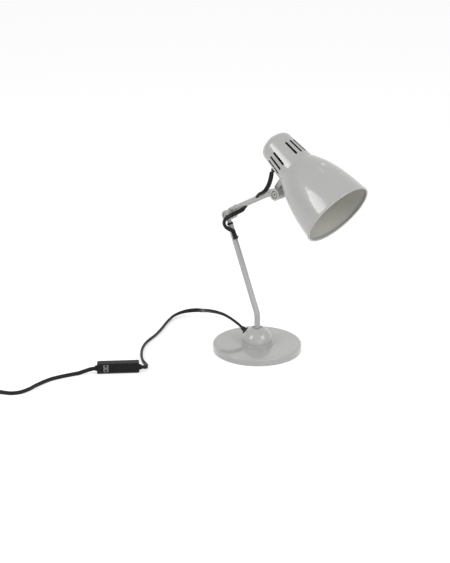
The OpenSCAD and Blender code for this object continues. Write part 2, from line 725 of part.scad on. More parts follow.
module centre_contact() color([0.8, 0.66, 0.32]) on_axis() {
    translate([-6, -2.5, insert_s + 1.2]) cube([12, 5, 0.8]);
    translate([0, 0, insert_s + 0.2]) cylinder(h = 1.5, r = 2);
}

// The short run between the gland and the holder's cap, in the gland's own plane
module holder_cord() color(black) on_axis() rotate([0, 0, gland_turn]) sweep([
    [gland_at - 4, 0, gland_s],
    [gland_at - 5.6, 0, gland_s + 1],
    [holder_r + 3.4, 0, gland_s + 5],
    [holder_r + 2.8, 0, entry_s - 3],
    [holder_r + 1.6, 0, entry_s - 0.6],
    [holder_r, 0, entry_s],
], upright = true);

// Cord routes, in the lamp's own frame
dome_cord_route = [
    [-22.5, -3.2, 27.7], [-19.6, -2.8, 25.6], [-17.6, -2.5, 21], [-15, -2.1, 16.8],
    [-10, -1.4, 14.6], [-4, -0.6, 15], [-0.6, 0, 17.6], [0, 0, 21.4],
];
module dome_cord() color(black) sweep(dome_cord_route, upright = true);

stem_cord_route = [
    [0, 0, 22.2], [0, 0, 40], [0, 0, 56], [-0.6, 0, 63.4], [-2.4, 0, 69.2], [-13.7, 0, 96],
    [-32.3, 0, 140], [-53.1, 0, 189.2],
];
module stem_cord() color(black) sweep(stem_cord_route, upright = true);

module arm_cord() color(black) in_arm()
    sweep([[lower_hole_a - 2, 0, arm_offset], [upper_hole_a + 2, 0, arm_offset]], upright = true);

table_route = [
    [-41.3, -5.7, 38.3], [-54, -7.4, 43.6], [-68, -9, 47.3], [-82, -10.4, 48], [-95, -10.2, 46.6],
    [-107, -8, 43.8], [-118, -3.6, 39.8], [-127.4, 3, 35.4], [-135.4, 11.4, 31], [-142.4, 19.6, 26.6],
    [-150.6, 27.2, 22.2], [-161, 33.8, 17.6], [-173, 36.4, 14.2], [-185, 33, 11.4], [-194.4, 25, 9.2],
    [-199.8, 13.6, 7], [-200.6, 1, 5], [-197, -12, 3], [-191, -25, 1.8], [-184, -38.4, 1.6],
    [-177, -52, 1.6], [-170.6, -66, 1.6], [-164.6, -80.4, 1.6], [-158.6, -95, 1.6], [-152, -109.4, 1.6],
    [-144.4, -123.4, 1.6], [-135, -136, 1.6], [-123.4, -146.6, 1.6], [-110, -155, 1.6], [-96, -163, 2],
    [-84, -173.4, 4], [-77.6, -187, 6.6], [-80.9, -204.9, 9],
];
module table_cord() color(black) sweep(table_route);

outgoing_route = [
    [-124.9, -251.4, 9], [-132, -260.2, 8.2], [-138.6, -271, 5.6], [-144.6, -283, 3], [-150, -296, 1.8],
    [-155, -310, 1.6], [-158.8, -325, 1.6], [-161, -340, 1.6], [-162, -355, 1.6], [-162.6, -370, 1.6],
    [-165, -384, 1.6], [-171, -396.4, 1.6], [-180.4, -406.4, 1.8, 10], [-192, -414.4, 2.3, 30],
    [-204, -420.6, 2.9, 60], [-214, -425, 3.3, 80], [-222.6, -427, 3.5, 90],
];
module outgoing_cord() color(black) sweep(outgoing_route);

elbow_loop_route = [
    [-39.6, 9.1, 241], [-40.6, 7.2, 238.6], [-43.2, 3, 236.2, 20], [-48.2, -3, 232.8, 40], [-53.6, -8.6, 228.8, 40],
    [-59.6, -12, 223.8, 30], [-63.2, -13.2, 218.6, 10], [-63.8, -13.2, 213.2], [-61.4, -12.6, 208.8],
    [-56.4, -11.2, 205.6], [-51.6, -8.6, 203.8], [-49.5, -5.6, 202], [-49.6, -4, 199],
];
module elbow_loop() color(black) sweep(elbow_loop_route, upright = true);

head_loop_route = [
    [21.8, 8.5, 316.4], [21.2, 8.2, 313.2], [20.4, 7.8, 307], [18.7, 7.2, 299.6], [16.2, 6.4, 292.4],
    [11.8, 5.6, 285], [6, 4.8, 279.6], [-0.6, 4.2, 275.6], [-5.2, 6.4, 271.5],
];
module head_loop() color(black) sweep(head_loop_route, upright = true);

// Coil: the loops wind in along the lower layer, climb in the half turn where they reverse, and wind out
coil_start = [-228, -427];
coil_low = tie_t + cord_w / 2;
coil_out = coil_r + coil_step * coil_turns / 2;
coil_centre = coil_start - [0, coil_out];
rings_per_loop = 24;
coil_rings = coil_turns * rings_per_loop;
function smooth(x) = let (t = min(1, max(0, x))) t * t * (3 - 2 * t);
function loop_r(u) = coil_r + coil_step * abs(u - coil_turns / 2);
function loop_z(u) = coil_low + coil_rise * smooth(2 * (u - coil_turns / 2) + 0.5);
function coil_point(u) = let (a = 90 + 360 * u, r = loop_r(u))
    [coil_centre[0] + r * cos(a), coil_centre[1] + r * sin(a), loop_z(u), 90];
coil_path = concat(
    [[coil_start[0] + cord_w, coil_start[1], coil_low, 90]],
    [for (i = [0 : coil_rings]) coil_point(i / rings_per_loop)],
    [[coil_start[0] - cord_w, coil_start[1], coil_low + coil_rise, 90]]
);
// Gap between two places of the coil at the same angle, measured over the cord's own width and thickness
function gap(u, v) =
    norm([max(0, abs(loop_r(u) - loop_r(v)) - cord_t), max(0, abs(loop_z(u) - loop_z(v)) - cord_w)]);
least_gap = min([for (i = [0 : coil_rings], j = [i + rings_per_loop : rings_per_loop : coil_rings])
    gap(i / rings_per_loop, j / rings_per_loop)]);
echo(least_gap_between_loops = least_gap);
module cord_coil() color(black) sweep(coil_path, sides = 6);

tie_w = 6;
tie_turn = [0, 180];
module coil_ties() color([0.12, 0.12, 0.12]) for (a = tie_turn)
    translate([coil_centre[0], coil_centre[1], 0]) rotate([0, 0, a]) translate([0, -tie_w / 2, 0])
        difference() {
            r0 = coil_r - cord_t / 2 - tie_t - loose;
            r1 = coil_out + cord_t / 2 + tie_t + loose;
            top = coil_low + coil_rise + cord_w / 2 + tie_t;
            translate([r0, 0, 0]) cube([r1 - r0, tie_w, top]);
            translate([r0 + tie_t, -eps, tie_t]) cube([r1 - r0 - 2 * tie_t, tie_w + 2 * eps, top - 2 * tie_t]);
        }

plug_route = [
    [-233.4, -427, 9.7, 90], [-245, -427, 8.8, 80], [-258, -427.6, 6.6, 50], [-271, -430, 5, 20],
    [-283, -435, 4.8, 0], [-294, -442.6, 6.2], [-303, -452, 6.85],
];
module plug_cord() color(black) sweep(plug_route);

// Plug, lying flat, with X towards its pins
plug_t = 13.7;
plug_w = 35.3;
plug_l = 36;
plug_relief = 26;
pin_gap = 18.6;
pin_r = 2;
pin_l = 19;
sleeve_l = 10;
sleeve_r = pin_r - 0.25;
core_r = pin_r - 0.8;
plug_turn = 226;
plug_rear = [-303, -452];
module in_plug() translate([plug_rear[0], plug_rear[1], 0]) rotate([0, 0, plug_turn])
    translate([plug_relief + plug_l, 0, 0]) children();
module at_pins() for (side = [-1, 1]) translate([0, side * pin_gap / 2, plug_t / 2]) rotate([0, 90, 0]) children();
module plug_body() color(black) in_plug() {
    intersection() {
        linear_extrude(plug_t) polygon([
            [0, -plug_w / 2], [0, plug_w / 2], [-12, plug_w / 2], [-16, plug_w / 2 - 1.4],
            [-plug_l + 3, 8.4], [-plug_l, 5.4], [-plug_l, -5.4], [-plug_l + 3, -8.4],
            [-16, 1.4 - plug_w / 2], [-12, -plug_w / 2],
        ]);
        rotate([90, 0, 0]) linear_extrude(plug_w, center = true) polygon([
            [0, 1], [-1, 0], [-18, 0], [-plug_l, 2], [-plug_l, plug_t - 2], [-18, plug_t],
            [-1, plug_t], [0, plug_t - 1],
        ]);
        rotate([90, 0, 90]) translate([0, 0, -plug_l]) linear_extrude(plug_l) polygon([
            [2 - plug_w / 2, 0], [plug_w / 2 - 2, 0], [plug_w / 2, 3], [plug_w / 2, plug_t - 3],
            [plug_w / 2 - 2, plug_t], [2 - plug_w / 2, plug_t], [-plug_w / 2, plug_t - 3], [-plug_w / 2, 3],
        ]);
    }
    translate([-plug_l, 0, plug_t / 2]) rotate([0, -90, 0]) ribbed_boot(4.8, boot_end_r, plug_relief);
    at_pins() difference() {
        cylinder(h = sleeve_l, r = sleeve_r);
        translate([0, 0, -eps]) cylinder(h = sleeve_l + 2 * eps, r = core_r);
    }
}
module plug_pins() color([0.75, 0.75, 0.74]) in_plug() at_pins() {
    cylinder(h = sleeve_l + 1, r = core_r);
    translate([0, 0, sleeve_l]) cylinder(h = pin_l - sleeve_l - 1, r = pin_r);
    translate([0, 0, pin_l - 1]) cylinder(h = 1, r1 = pin_r, r2 = pin_r - 1);
}

// Switch, standing on its long edge: X runs along the cord and the face looks towards -Y
switch_end = [-124.9, -251.4];
switch_turn = 46.6;
corner_r = 4;
cord_z = 9;
slot_a = 8.7;
bar_w = 4.5;
slot_z = [5.8, 13.2];
stem_of_slider = 3;
bar_z = [3.6, 15.4];
bar_y = 1.3;
module in_switch() translate([switch_end[0], switch_end[1], 0]) rotate([0, 0, switch_turn]) children();
module rounded_rect(l, w, r) {
    translate([r, 0]) square([l - 2 * r, w]);
    translate([0, r]) square([l, w - 2 * r]);
    for (x = [r, l - r], y = [r, w - r]) translate([x, y]) circle(r);
}
// Half of the switch's outside; side is -1 for the face and 1 for the back
module switch_half(side) intersection() {
    rotate([90, 0, 0]) translate([0, 0, side < 0 ? 0 : -switch_t / 2])
        linear_extrude(switch_t / 2) rounded_rect(switch_l, switch_w, corner_r);
    rotate([90, 0, 90]) linear_extrude(switch_l) polygon([
        [0, 0], [side * (switch_t / 2 - 2), 0], [side * switch_t / 2, 2.6],
        [side * switch_t / 2, switch_w - 2.6], [side * (switch_t / 2 - 2), switch_w], [0, switch_w],
    ]);
}
module switch_room(side) translate([switch_wall, side < 0 ? -switch_t / 2 + switch_wall + 0.4 : -eps, switch_wall + 1])
    cube([switch_l - 2 * switch_wall, switch_t / 2 - switch_wall - 0.4 + eps, switch_w - 2 * switch_wall - 2]);
switch_boss = [30, 56];
module at_bosses() for (x = switch_boss) translate([x, 0, switch_w / 2]) children();
slider_plate = [2.5, 4.4];
slot_l_x = bar_w + slider_travel + 2 * loose;
module switch_front() color(black) in_switch() difference() {
    union() {
        difference() {
            switch_half(-1);
            switch_room(-1);
        }
        at_bosses() y_cylinder(-switch_t / 2 + 1, 0, 2.8);
    }
    at_bosses() y_cylinder(-switch_t / 2 + 2, eps, 1.25);
    translate([slot_a - loose, -switch_t / 2 - eps, slot_z[0]])
        cube([slot_l_x, switch_t / 2, slot_z[1] - slot_z[0]]);
    translate([slot_a - 2.2, -switch_t / 2 - eps, bar_z[0] - 1])
        cube([slot_l_x + 4, eps + 0.5, bar_z[1] - bar_z[0] + 2]);
}
module switch_back() color(black) in_switch() difference() {
    union() {
        difference() {
            switch_half(1);
            switch_room(1);
        }
        at_bosses() y_cylinder(0, switch_t / 2 - 1, 2.8);
    }
    at_bosses() y_cylinder(-eps, switch_t, 1.4);
    at_bosses() y_cylinder(switch_t / 2 - 2.2, switch_t, 2.4);
}
module switch_screws() color(steel) in_switch() at_bosses() {
    y_cylinder(-switch_t / 2 + 2.4, switch_t / 2 - 2.2, 1.25);
    y_cylinder(switch_t / 2 - 2.2, switch_t / 2 - 0.8, 2.3);
}
front_in = -switch_t / 2 + switch_wall + 0.4;
module switch_slider() color([0.45, 0.45, 0.45]) in_switch() translate([slot_a, 0, 0]) {
    translate([0, -switch_t / 2 + 0.5 - bar_y, bar_z[0]]) cube([bar_w, bar_y - run_gap, bar_z[1] - bar_z[0]]);
    translate([0, -switch_t / 2 + 0.3, slot_z[0] + loose])
        cube([bar_w, switch_wall + 1, slot_z[1] - slot_z[0] - 2 * loose]);
    translate([-slider_plate[0], front_in + run_gap, slot_z[0] - 1.4])
        cube([bar_w + 2 * slider_plate[0], 0.9, slot_z[1] - slot_z[0] + 2.8]);
}
module switch_contacts() color([0.8, 0.66, 0.32]) in_switch() for (z = [5, 12])
    translate([slot_a, switch_t / 2 - switch_wall - 0.9, z]) cube([16, 0.5, 2]);

// Drawing
base_cover();
base_weight();
base_pad();
dome();
dome_screws();
swivel_cup();
swivel_bush();
dome_grommet();
dome_cord();
table_cord();
switch_front();
switch_back();
switch_contacts();
switch_screws();
switch_slider();
outgoing_cord();
cord_coil();
coil_ties();
plug_cord();
plug_body();
plug_pins();
stem_tube();
stem_collar();
stem_boot();
stem_cord();
stem_knuckle();
elbow_screw();
elbow_washer();
elbow_nut();
arm_rear_knuckle();
arm_tube();
arm_bushes();
arm_cord();
arm_front_knuckle();
head_screw();
head_washer();
head_nut();
elbow_loop();
head_loop();
shade_bracket();
bracket_screws();
neck_housing();
neck_gland();
shade();
holder_bracket();
holder_screw();
lampholder_cap();
lampholder_skirt();
holder_insert();
screw_shell();
centre_contact();
holder_cord();
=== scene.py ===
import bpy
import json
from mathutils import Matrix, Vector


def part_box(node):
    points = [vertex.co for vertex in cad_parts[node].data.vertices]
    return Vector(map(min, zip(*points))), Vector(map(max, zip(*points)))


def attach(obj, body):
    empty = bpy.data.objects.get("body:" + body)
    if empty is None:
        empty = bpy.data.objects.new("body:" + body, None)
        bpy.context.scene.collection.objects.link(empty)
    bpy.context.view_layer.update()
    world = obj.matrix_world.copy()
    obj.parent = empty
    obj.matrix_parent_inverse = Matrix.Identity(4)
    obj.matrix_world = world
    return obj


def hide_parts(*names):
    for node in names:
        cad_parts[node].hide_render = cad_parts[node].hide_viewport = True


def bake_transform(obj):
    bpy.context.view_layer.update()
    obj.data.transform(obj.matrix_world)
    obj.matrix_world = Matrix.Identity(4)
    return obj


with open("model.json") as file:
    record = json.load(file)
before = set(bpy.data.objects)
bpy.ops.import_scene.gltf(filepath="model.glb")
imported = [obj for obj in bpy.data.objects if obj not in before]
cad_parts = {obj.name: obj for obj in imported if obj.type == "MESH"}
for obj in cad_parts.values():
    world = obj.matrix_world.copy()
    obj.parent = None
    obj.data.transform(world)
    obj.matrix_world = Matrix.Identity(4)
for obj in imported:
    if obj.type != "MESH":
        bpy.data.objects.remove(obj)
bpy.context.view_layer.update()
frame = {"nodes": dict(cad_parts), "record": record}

import json
import math
import bpy
from mathutils import Matrix, Vector

mm = 0.001
scale = Matrix.Scale(mm, 4)
scene = bpy.context.scene
scene.view_settings.view_transform = "Standard"
bpy.ops.object.select_all(action="DESELECT")

# the photograph's eye, 2.7 m from the lamp
camera = {
    "place": (1.6633, -1.9042, 1.0714), "back": (0.63099, -0.69163, 0.35143),
    "lens": 128.95, "sensor": 36, "reach": 40,
}


def setCamera():
    back = Vector(camera["back"]).normalized()
    right = Vector((0, 0, 1)).cross(back).normalized()
    up = back.cross(right)
    bpy.ops.object.camera_add()
    eye = bpy.context.object
    turn = Matrix((right, up, back)).transposed().to_4x4()
    eye.matrix_world = Matrix.Translation(camera["place"]) @ turn
    eye.data.sensor_fit = "HORIZONTAL"
    eye.data.sensor_width = camera["sensor"]
    eye.data.lens = camera["lens"]
    eye.data.clip_end = camera["reach"]
    scene.camera = eye


# an operator acts on all that is selected, so each step picks its own piece
def deselect():
    if bpy.context.object and bpy.context.object.mode != "OBJECT":
        bpy.ops.object.mode_set(mode="OBJECT")
    bpy.ops.object.select_all(action="DESELECT")


def pick(piece):
    deselect()
    piece.select_set(True)
    bpy.context.view_layer.objects.active = piece


# Cords: a flat sheath with a shallow waist between its two cores, drawn in where it enters a hole
cord = {
    "width": 7.4, "thick": 4.3, "waist": 0.45, "roundSteps": 7, "smooth": 50,
    "steps": 5, "insideSteps": 3, "grip": 0.82, "gripRings": 6,
}


def cordProfile():
    radius, half = cord["thick"] / 2, (cord["width"] - cord["thick"]) / 2
    points = []
    for side in (1, -1):
        for i in range(cord["roundSteps"] + 1):
            a = math.pi * (i / cord["roundSteps"] - 0.5)
            points.append((side * (half + radius * math.cos(a)), side * radius * math.sin(a)))
        points.append((0, side * (radius - cord["waist"])))
    return points


# a smooth curve through every point of a route, its turn included
def smoothRoute(route, steps):
    route = [tuple(p) + (0,) * (4 - len(p)) for p in route]
    line = [2 * Vector(route[0]) - Vector(route[1])] + [Vector(p) for p in route]
    line.append(2 * line[-1] - line[-2])
    out = []
    for i in range(1, len(line) - 2):
        a, b, c, d = line[i - 1 : i + 3]
        slope, bend, twist = c - a, 2 * a - 5 * b + 4 * c - d, 3 * b - a - 3 * c + d
        for k in range(steps):
            t = k / steps
            out.append(0.5 * (2 * b + slope * t + bend * t**2 + twist * t**3))
    return out + [line[-2]]


# one ring of the profile at each point; its width is level, or along Y for an upright cord, and then turned
def layCord(name, points, upright=False):
    profile = cordProfile()
    places = [p.to_3d() for p in points]
    verts, faces, n = [], [], len(profile)
    for i, p in enumerate(places):
        ends = min(i, len(places) - 1 - i)
        grip = min(1, cord["grip"] + (1 - cord["grip"]) * ends / cord["gripRings"])
        way = (places[min(i + 1, len(places) - 1)] - places[max(i - 1, 0)]).normalized()
        wide = (Vector((0, 1, 0)) - way.y * way) if upright else way.cross(Vector((0, 0, 1)))
        wide.normalize()
        deep = wide.cross(way)
        turn = math.radians(points[i].w)
        across = wide * math.cos(turn) + deep * math.sin(turn)
        through = deep * math.cos(turn) - wide * math.sin(turn)
        ring = [p + grip * (across * x + through * y) for x, y in profile]
        lift = max(0, -min(v.z for v in ring))  # it lies on the desk
        p.z += lift
        verts += [(v + Vector((0, 0, lift))) * mm for v in ring]
    for i in range(len(places) - 1):
        for k in range(n):
            faces.append((i * n + k, i * n + (k + 1) % n, (i + 1) * n + (k + 1) % n, (i + 1) * n + k))
    faces += [tuple(range(n - 1, -1, -1)), tuple(range(len(verts) - n, len(verts)))]
    mesh = bpy.data.meshes.new(name)
    mesh.from_pydata(verts, [], faces)
    piece = bpy.data.objects.new(name, mesh)
    scene.collection.objects.link(piece)
    pick(piece)
    bpy.ops.object.mode_set(mode="EDIT")
    bpy.ops.mesh.select_all(action="SELECT")
    bpy.ops.mesh.normals_make_consistent(inside=False)
    bpy.ops.object.mode_set(mode="OBJECT")
    bpy.ops.object.shade_smooth_by_angle(angle=math.radians(cord["smooth"]))
    path = [tuple(p * mm) for p in places]
    return piece, path, sum((places[i + 1] - places[i]).length for i in range(len(places) - 1)) * mm


# The routes, in millimetres; a fourth value turns the flat side, in degrees
deskRoute = [
    (-29, -4, 31.6, -42), (-34.6, -4.8, 34.8, -42), (-41.3, -5.7, 38.3, -42), (-54, -7.4, 43.6, -42),
    (-68, -9, 47.3, -46), (-82, -10.4, 48, -50), (-95, -10.2, 46.6, -58), (-107, -8, 43.8, -56),
    (-118, -3.6, 39.8, -52), (-127.4, 3, 35.4, -50), (-135.4, 11.4, 31, -50), (-142.4, 19.6, 26.6, -55),
    (-150.6, 27.2, 22.2, -62), (-161, 33.8, 17.6, -74), (-173, 36.4, 14.2, -84), (-185, 33, 11.4, -84),
    (-194.4, 25, 9.2, -62), (-199.8, 13.6, 7, -48), (-200.6, 1, 5, -52), (-197, -12, 3, -60),
    (-191, -25, 1.8, -66), (-184, -38.4, 1.6, -72), (-177, -52, 1.6, -70), (-170.6, -66, 1.6, -62),
    (-164.6, -80.4, 1.6, -58), (-159.7, -96, 1.6, -58), (-154.1, -111.3, 1.6, -64),
    (-146.6, -125.4, 1.6, -74), (-137.6, -138.4, 1.6, -82), (-126.4, -151.2, 1.6, -92),
    (-112.9, -164, 1.6, -100), (-98.4, -174.8, 2, -98), (-82.8, -182.6, 4, -88), (-75.4, -192.4, 6.6, -72),
    (-80.9, -204.9, 9, -70),
]
mainsRoute = [
    (-124.9, -251.4, 9, -80), (-132, -260.2, 8.2, -78), (-138.6, -271, 5.6, -76), (-144.6, -283, 3, -75),
    (-150, -296, 1.8, -75), (-155, -310, 1.6, -75), (-158.8, -325, 1.6, -75), (-159.4, -341.8, 1.6, -75),
    (-158.2, -359.2, 1.6, -75), (-155.6, -376.4, 1.6, -75), (-157, -392.8, 1.6, -72),
    (-164.3, -404.8, 1.6, -72), (-175.6, -411.7, 1.8, -74), (-189.4, -417.2, 2.3, -78),
    (-203.4, -421.6, 2.9, -84), (-214, -425, 3.3, -88), (-222.6, -427, 4, -90),
]
plugRoute = [
    (-233.4, -427, 11.1, -90), (-245, -427, 9.4, -80), (-258, -427.6, 6.6, -50), (-271, -430, 5, -20),
    (-283, -435, 4.8, 0), (-294, -442.6, 6.2, 0), (-303, -452, 6.85, 0),
]
elbowRoute = [
    (-39.6, 9.1, 241, -62), (-40.6, 7.2, 238.6, -75), (-43.2, 3, 236.2, -82), (-48.2, -3, 232.8, -86),
    (-53.6, -8.6, 228.8, -95), (-59.6, -12, 223.8, -112), (-63.2, -13.2, 218.6, -115),
    (-63.8, -13.2, 213.2, -109), (-61.4, -12.6, 208.8, -108), (-56.4, -11.2, 205.6, -103),
    (-51.6, -8.6, 203.8, -100), (-49.5, -5.6, 202, -86), (-49.6, -4, 199, -76),
]
headRoute = [
    (21.8, 8.5, 316.4, -52), (21.2, 8.2, 313.2, -52), (20.4, 7.8, 307, -52), (18.7, 7.2, 299.6, -53),
    (16.2, 6.4, 292.4, -50), (11.8, 5.6, 285, -28), (6, 4.8, 279.6, -3), (-0.6, 4.2, 275.6, 0),
    (-5.2, 6.4, 271.5, 18),
]
domeRoute = [
    (-22.5, -3.2, 27.7), (-19.6, -2.8, 25.6), (-17.6, -2.5, 21), (-15, -2.1, 16.8), (-10, -1.4, 14.6),
    (-4, -0.6, 15), (-0.6, 0, 17.6), (0, 0, 21.4),
]
stemRoute = [
    (0, 0, 22.2), (0, 0, 40), (0, 0, 56), (-0.6, 0, 63.4), (-2.4, 0, 69.2), (-13.7, 0, 96), (-32.3, 0, 140),
    (-53.1, 0, 189.2),
]
armRoute = [(-41.4, 11, 246.6), (-29.2, 11, 253.4), (-17, 11, 260.3), (-4.3, 11, 267.4)]
holderRoute = [
    (26.9, 12.2, 323.9), (26.6, 12.6, 325.3), (24, 13.2, 328.7),
    (19.4, 13.4, 332.5), (18.1, 13.9, 334.8), (18.4, 14.5, 336.3),
]
coil = {
    "start": (-228, -427), "turns": 5, "least": 24.5, "step": 5.2, "perTurn": 48, "flat": -90,
    "low": 4, "rise": 7.1, "crossing": 0.5,
}


def coilReach():
    return coil["least"] + coil["step"] * coil["turns"] / 2


# the turns wind inwards, climb to the upper layer in half a turn, and wind outwards over the lower one
def coilRoute():
    middle = coil["turns"] / 2
    centre = Vector(coil["start"]) - Vector((0, coilReach()))
    line = []
    for i in range(coil["turns"] * coil["perTurn"] + 1):
        u = i / coil["perTurn"]
        t = min(1, max(0, (u - middle) / coil["crossing"] + 0.5))
        radius = coil["least"] + coil["step"] * abs(u - middle)
        a = math.radians(90 + 360 * u)
        x, y = centre.x + radius * math.cos(a), centre.y + radius * math.sin(a)
        z = coil["low"] + coil["rise"] * t * t * (3 - 2 * t)
        line.append(Vector((x, y, z, coil["flat"])))
    return line


def dressCords():
    steps, fewer = cord["steps"], cord["insideSteps"]
    wholeLead = smoothRoute(mainsRoute, steps) + coilRoute() + smoothRoute(plugRoute, steps)
    laid = {
        "deskCord": layCord("deskCord", smoothRoute(deskRoute, steps)),
        "mainsLead": layCord("mainsLead", wholeLead),
        "elbowLoop": layCord("elbowLoop", smoothRoute(elbowRoute, steps), upright=True),
        "headLoop": layCord("headLoop", smoothRoute(headRoute, steps), upright=True),
        "domeCord": layCord("domeCord", smoothRoute(domeRoute, fewer), upright=True),
        "stemCord": layCord("stemCord", smoothRoute(stemRoute, fewer), upright=True),
        "armCord": layCord("armCord", smoothRoute(armRoute, fewer), upright=True),
        "holderCord": layCord("holderCord", smoothRoute(holderRoute, fewer), upright=True),
    }
    replaced = {
        "deskCord": ("table_cord",), "mainsLead": ("outgoing_cord", "cord_coil", "plug_cord"),
        "elbowLoop": ("elbow_loop",), "headLoop": ("head_loop",),
        "domeCord": ("dome_cord",), "stemCord": ("stem_cord",),
        "armCord": ("arm_cord",), "holderCord": ("holder_cord",),
    }
    rides = {"deskCord": "base", "mainsLead": "base", "domeCord": "base",
             "stemCord": "stem", "armCord": "arm", "holderCord": "head"}
    loops = {"elbowLoop": (elbowRoute, "arm", "stem"), "headLoop": (headRoute, "head", "arm")}
    for name, (piece, path, length) in laid.items():
        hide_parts(*replaced[name])
        print(name, round(length, 3))
    for name, body in rides.items():
        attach(laid[name][0], body)
    for name, (route, *bodies) in loops.items():
        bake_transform(laid[name][0])
    return laid


setCamera()
print("camera set")
laid = dressCords()
print("cords laid")


# Finishes, named for the record's slots, and two looks more that paint light and shade: a lighter coat for
# the light inside the shade, and a flat black for the shade inside the neck
finishes = {
    "paint": {"color": (0.415, 0.415, 0.405), "rough": 0.34, "coat": 0.8, "coatRough": 0.04,
              "bump": 0.012, "shade": 0.02},
    # painted light: lighter and warmer than the paint, to brighten the inside of the shade
    "paintedLightLining": {"color": (0.5, 0.495, 0.45), "rough": 0.5, "bump": 0.03, "shade": 0.05},
    # painted shade: a flat black that stands for the dark inside the neck
    "paintedShadeBlack": {"color": (0.006, 0.006, 0.006), "rough": 0.9, "bump": 0.1, "shade": 0.2},
    "cast_weight": {"color": (0.08, 0.08, 0.085), "rough": 0.75, "grain": 900, "bump": 0.3, "shade": 0.2},
    "pad": {"color": (0.02, 0.02, 0.02), "rough": 0.9, "grain": 1500, "bump": 0.2, "shade": 0.3},
    "steel": {"color": (0.55, 0.55, 0.55), "metal": 1, "rough": 0.35, "grain": 1200,
              "bump": 0.02, "shade": 0.1},
    "joint_screw": {"color": (0.4, 0.385, 0.36), "metal": 1, "rough": 0.3, "grain": 1500,
                    "bump": 0.03, "shade": 0.1},
    "black_plastic": {"color": (0.006, 0.006, 0.0075), "gloss": 0.18, "rough": 0.42, "grain": 2600,
                      "bump": 0.05, "shade": 0.15},
    "soft_black": {"color": (0.01, 0.01, 0.0105), "gloss": 0.25, "rough": 0.5, "grain": 1800,
                   "bump": 0.08, "shade": 0.2},
    "cord": {"color": (0.008, 0.008, 0.0085), "gloss": 0.2, "rough": 0.42, "grain": 1400,
             "bump": 0.04, "shade": 0.2},
    "slider": {"color": (0.2, 0.2, 0.2), "rough": 0.4, "grain": 2600, "bump": 0.03, "shade": 0.1},
    "washer": {"color": (0.04, 0.04, 0.042), "rough": 0.6, "grain": 2000, "bump": 0.05, "shade": 0.2},
    "lampholder": {"color": (0.8, 0.79, 0.74), "rough": 0.22, "grain": 900, "bump": 0.01, "shade": 0.03},
    "brass": {"color": (0.7, 0.52, 0.22), "metal": 1, "rough": 0.3, "grain": 1500,
              "bump": 0.03, "shade": 0.15},
}
# what all finishes share: a soft cloud tints them and varies their gloss, and a fine grain raises them
surface = {
    "metal": 0, "gloss": 0.5, "coat": 0, "coatRough": 0.05, "grain": 700, "grainDetail": 2,
    "cloud": 18, "cloudDetail": 4, "tintFrom": 0.3, "tintTo": 0.7, "roughSpread": 0.12, "relief": 0.0003,
}


def makeFinish(name):
    look = surface | finishes[name]
    finish = bpy.data.materials.new(name)
    finish.use_nodes = True
    tree = finish.node_tree
    shader = tree.nodes["Principled BSDF"]
    shader.inputs["Metallic"].default_value = look["metal"]
    shader.inputs["Specular IOR Level"].default_value = look["gloss"]
    shader.inputs["Coat Weight"].default_value = look["coat"]
    shader.inputs["Coat Roughness"].default_value = look["coatRough"]
    place = tree.nodes.new("ShaderNodeTexCoord").outputs["Object"]
    cloud = tree.nodes.new("ShaderNodeTexNoise")
    cloud.inputs["Scale"].default_value = look["cloud"]
    cloud.inputs["Detail"].default_value = look["cloudDetail"]
    tree.links.new(place, cloud.inputs["Vector"])
    tint = tree.nodes.new("ShaderNodeValToRGB")
    dark, light = tint.color_ramp.elements
    for stop, side in ((dark, -1), (light, 1)):
        stop.color = [min(1, c * (1 + side * look["shade"])) for c in look["color"]] + [1]
    dark.position, light.position = look["tintFrom"], look["tintTo"]
    tree.links.new(cloud.outputs["Fac"], tint.inputs["Fac"])
    tree.links.new(tint.outputs["Color"], shader.inputs["Base Color"])
    gloss = tree.nodes.new("ShaderNodeMapRange")
    gloss.inputs["To Min"].default_value = look["rough"] * (1 - look["roughSpread"])
    gloss.inputs["To Max"].default_value = min(1, look["rough"] * (1 + look["roughSpread"]))
    tree.links.new(cloud.outputs["Fac"], gloss.inputs["Value"])
    tree.links.new(gloss.outputs["Result"], shader.inputs["Roughness"])
    grain = tree.nodes.new("ShaderNodeTexNoise")
    grain.inputs["Scale"].default_value = look["grain"]
    grain.inputs["Detail"].default_value = look["grainDetail"]
    tree.links.new(place, grain.inputs["Vector"])
    bump = tree.nodes.new("ShaderNodeBump")
    bump.inputs["Strength"].default_value = look["bump"]
    bump.inputs["Distance"].default_value = look["relief"]
    tree.links.new(grain.outputs["Fac"], bump.inputs["Height"])
    tree.links.new(bump.outputs["Normal"], shader.inputs["Normal"])
    return finish


materials = {name: makeFinish(name) for name in finishes}
slotOf = {row["node"]: row["material_slot"] for row in frame["record"]["subparts"]}


def wear(piece, slot):
    piece.data.materials.clear()
    piece.data.materials.append(materials[slot])


for node, piece in frame["nodes"].items():
    for i in range(len(piece.material_slots)):
        piece.material_slots[i].material = materials[slotOf[node]]
for piece, path, length in laid.values():
    wear(piece, "cord")
wear(frame["nodes"]["swivel_bush"], "paint")  # the grey collar where the stem enters the dome
print("finishes made")


# Modelling helpers; what they make is in millimetres until it is settled, a copied node stays in metres
modelling = {"around": 64, "merge": 0.0005, "mergeNode": 0.00002, "flat": 1, "smooth": 35, "overshoot": 2}


def turnAbout(axis, degrees):
    return Matrix.Rotation(math.radians(degrees), 4, axis)


def block(name, low, high):
    deselect()
    bpy.ops.mesh.primitive_cube_add(size=1)
    piece = bpy.context.object
    piece.name = piece.data.name = name
    low, high = Vector(low), Vector(high)
    piece.data.transform(Matrix.Translation((low + high) / 2) @ Matrix.Diagonal((*(high - low), 1)))
    return piece


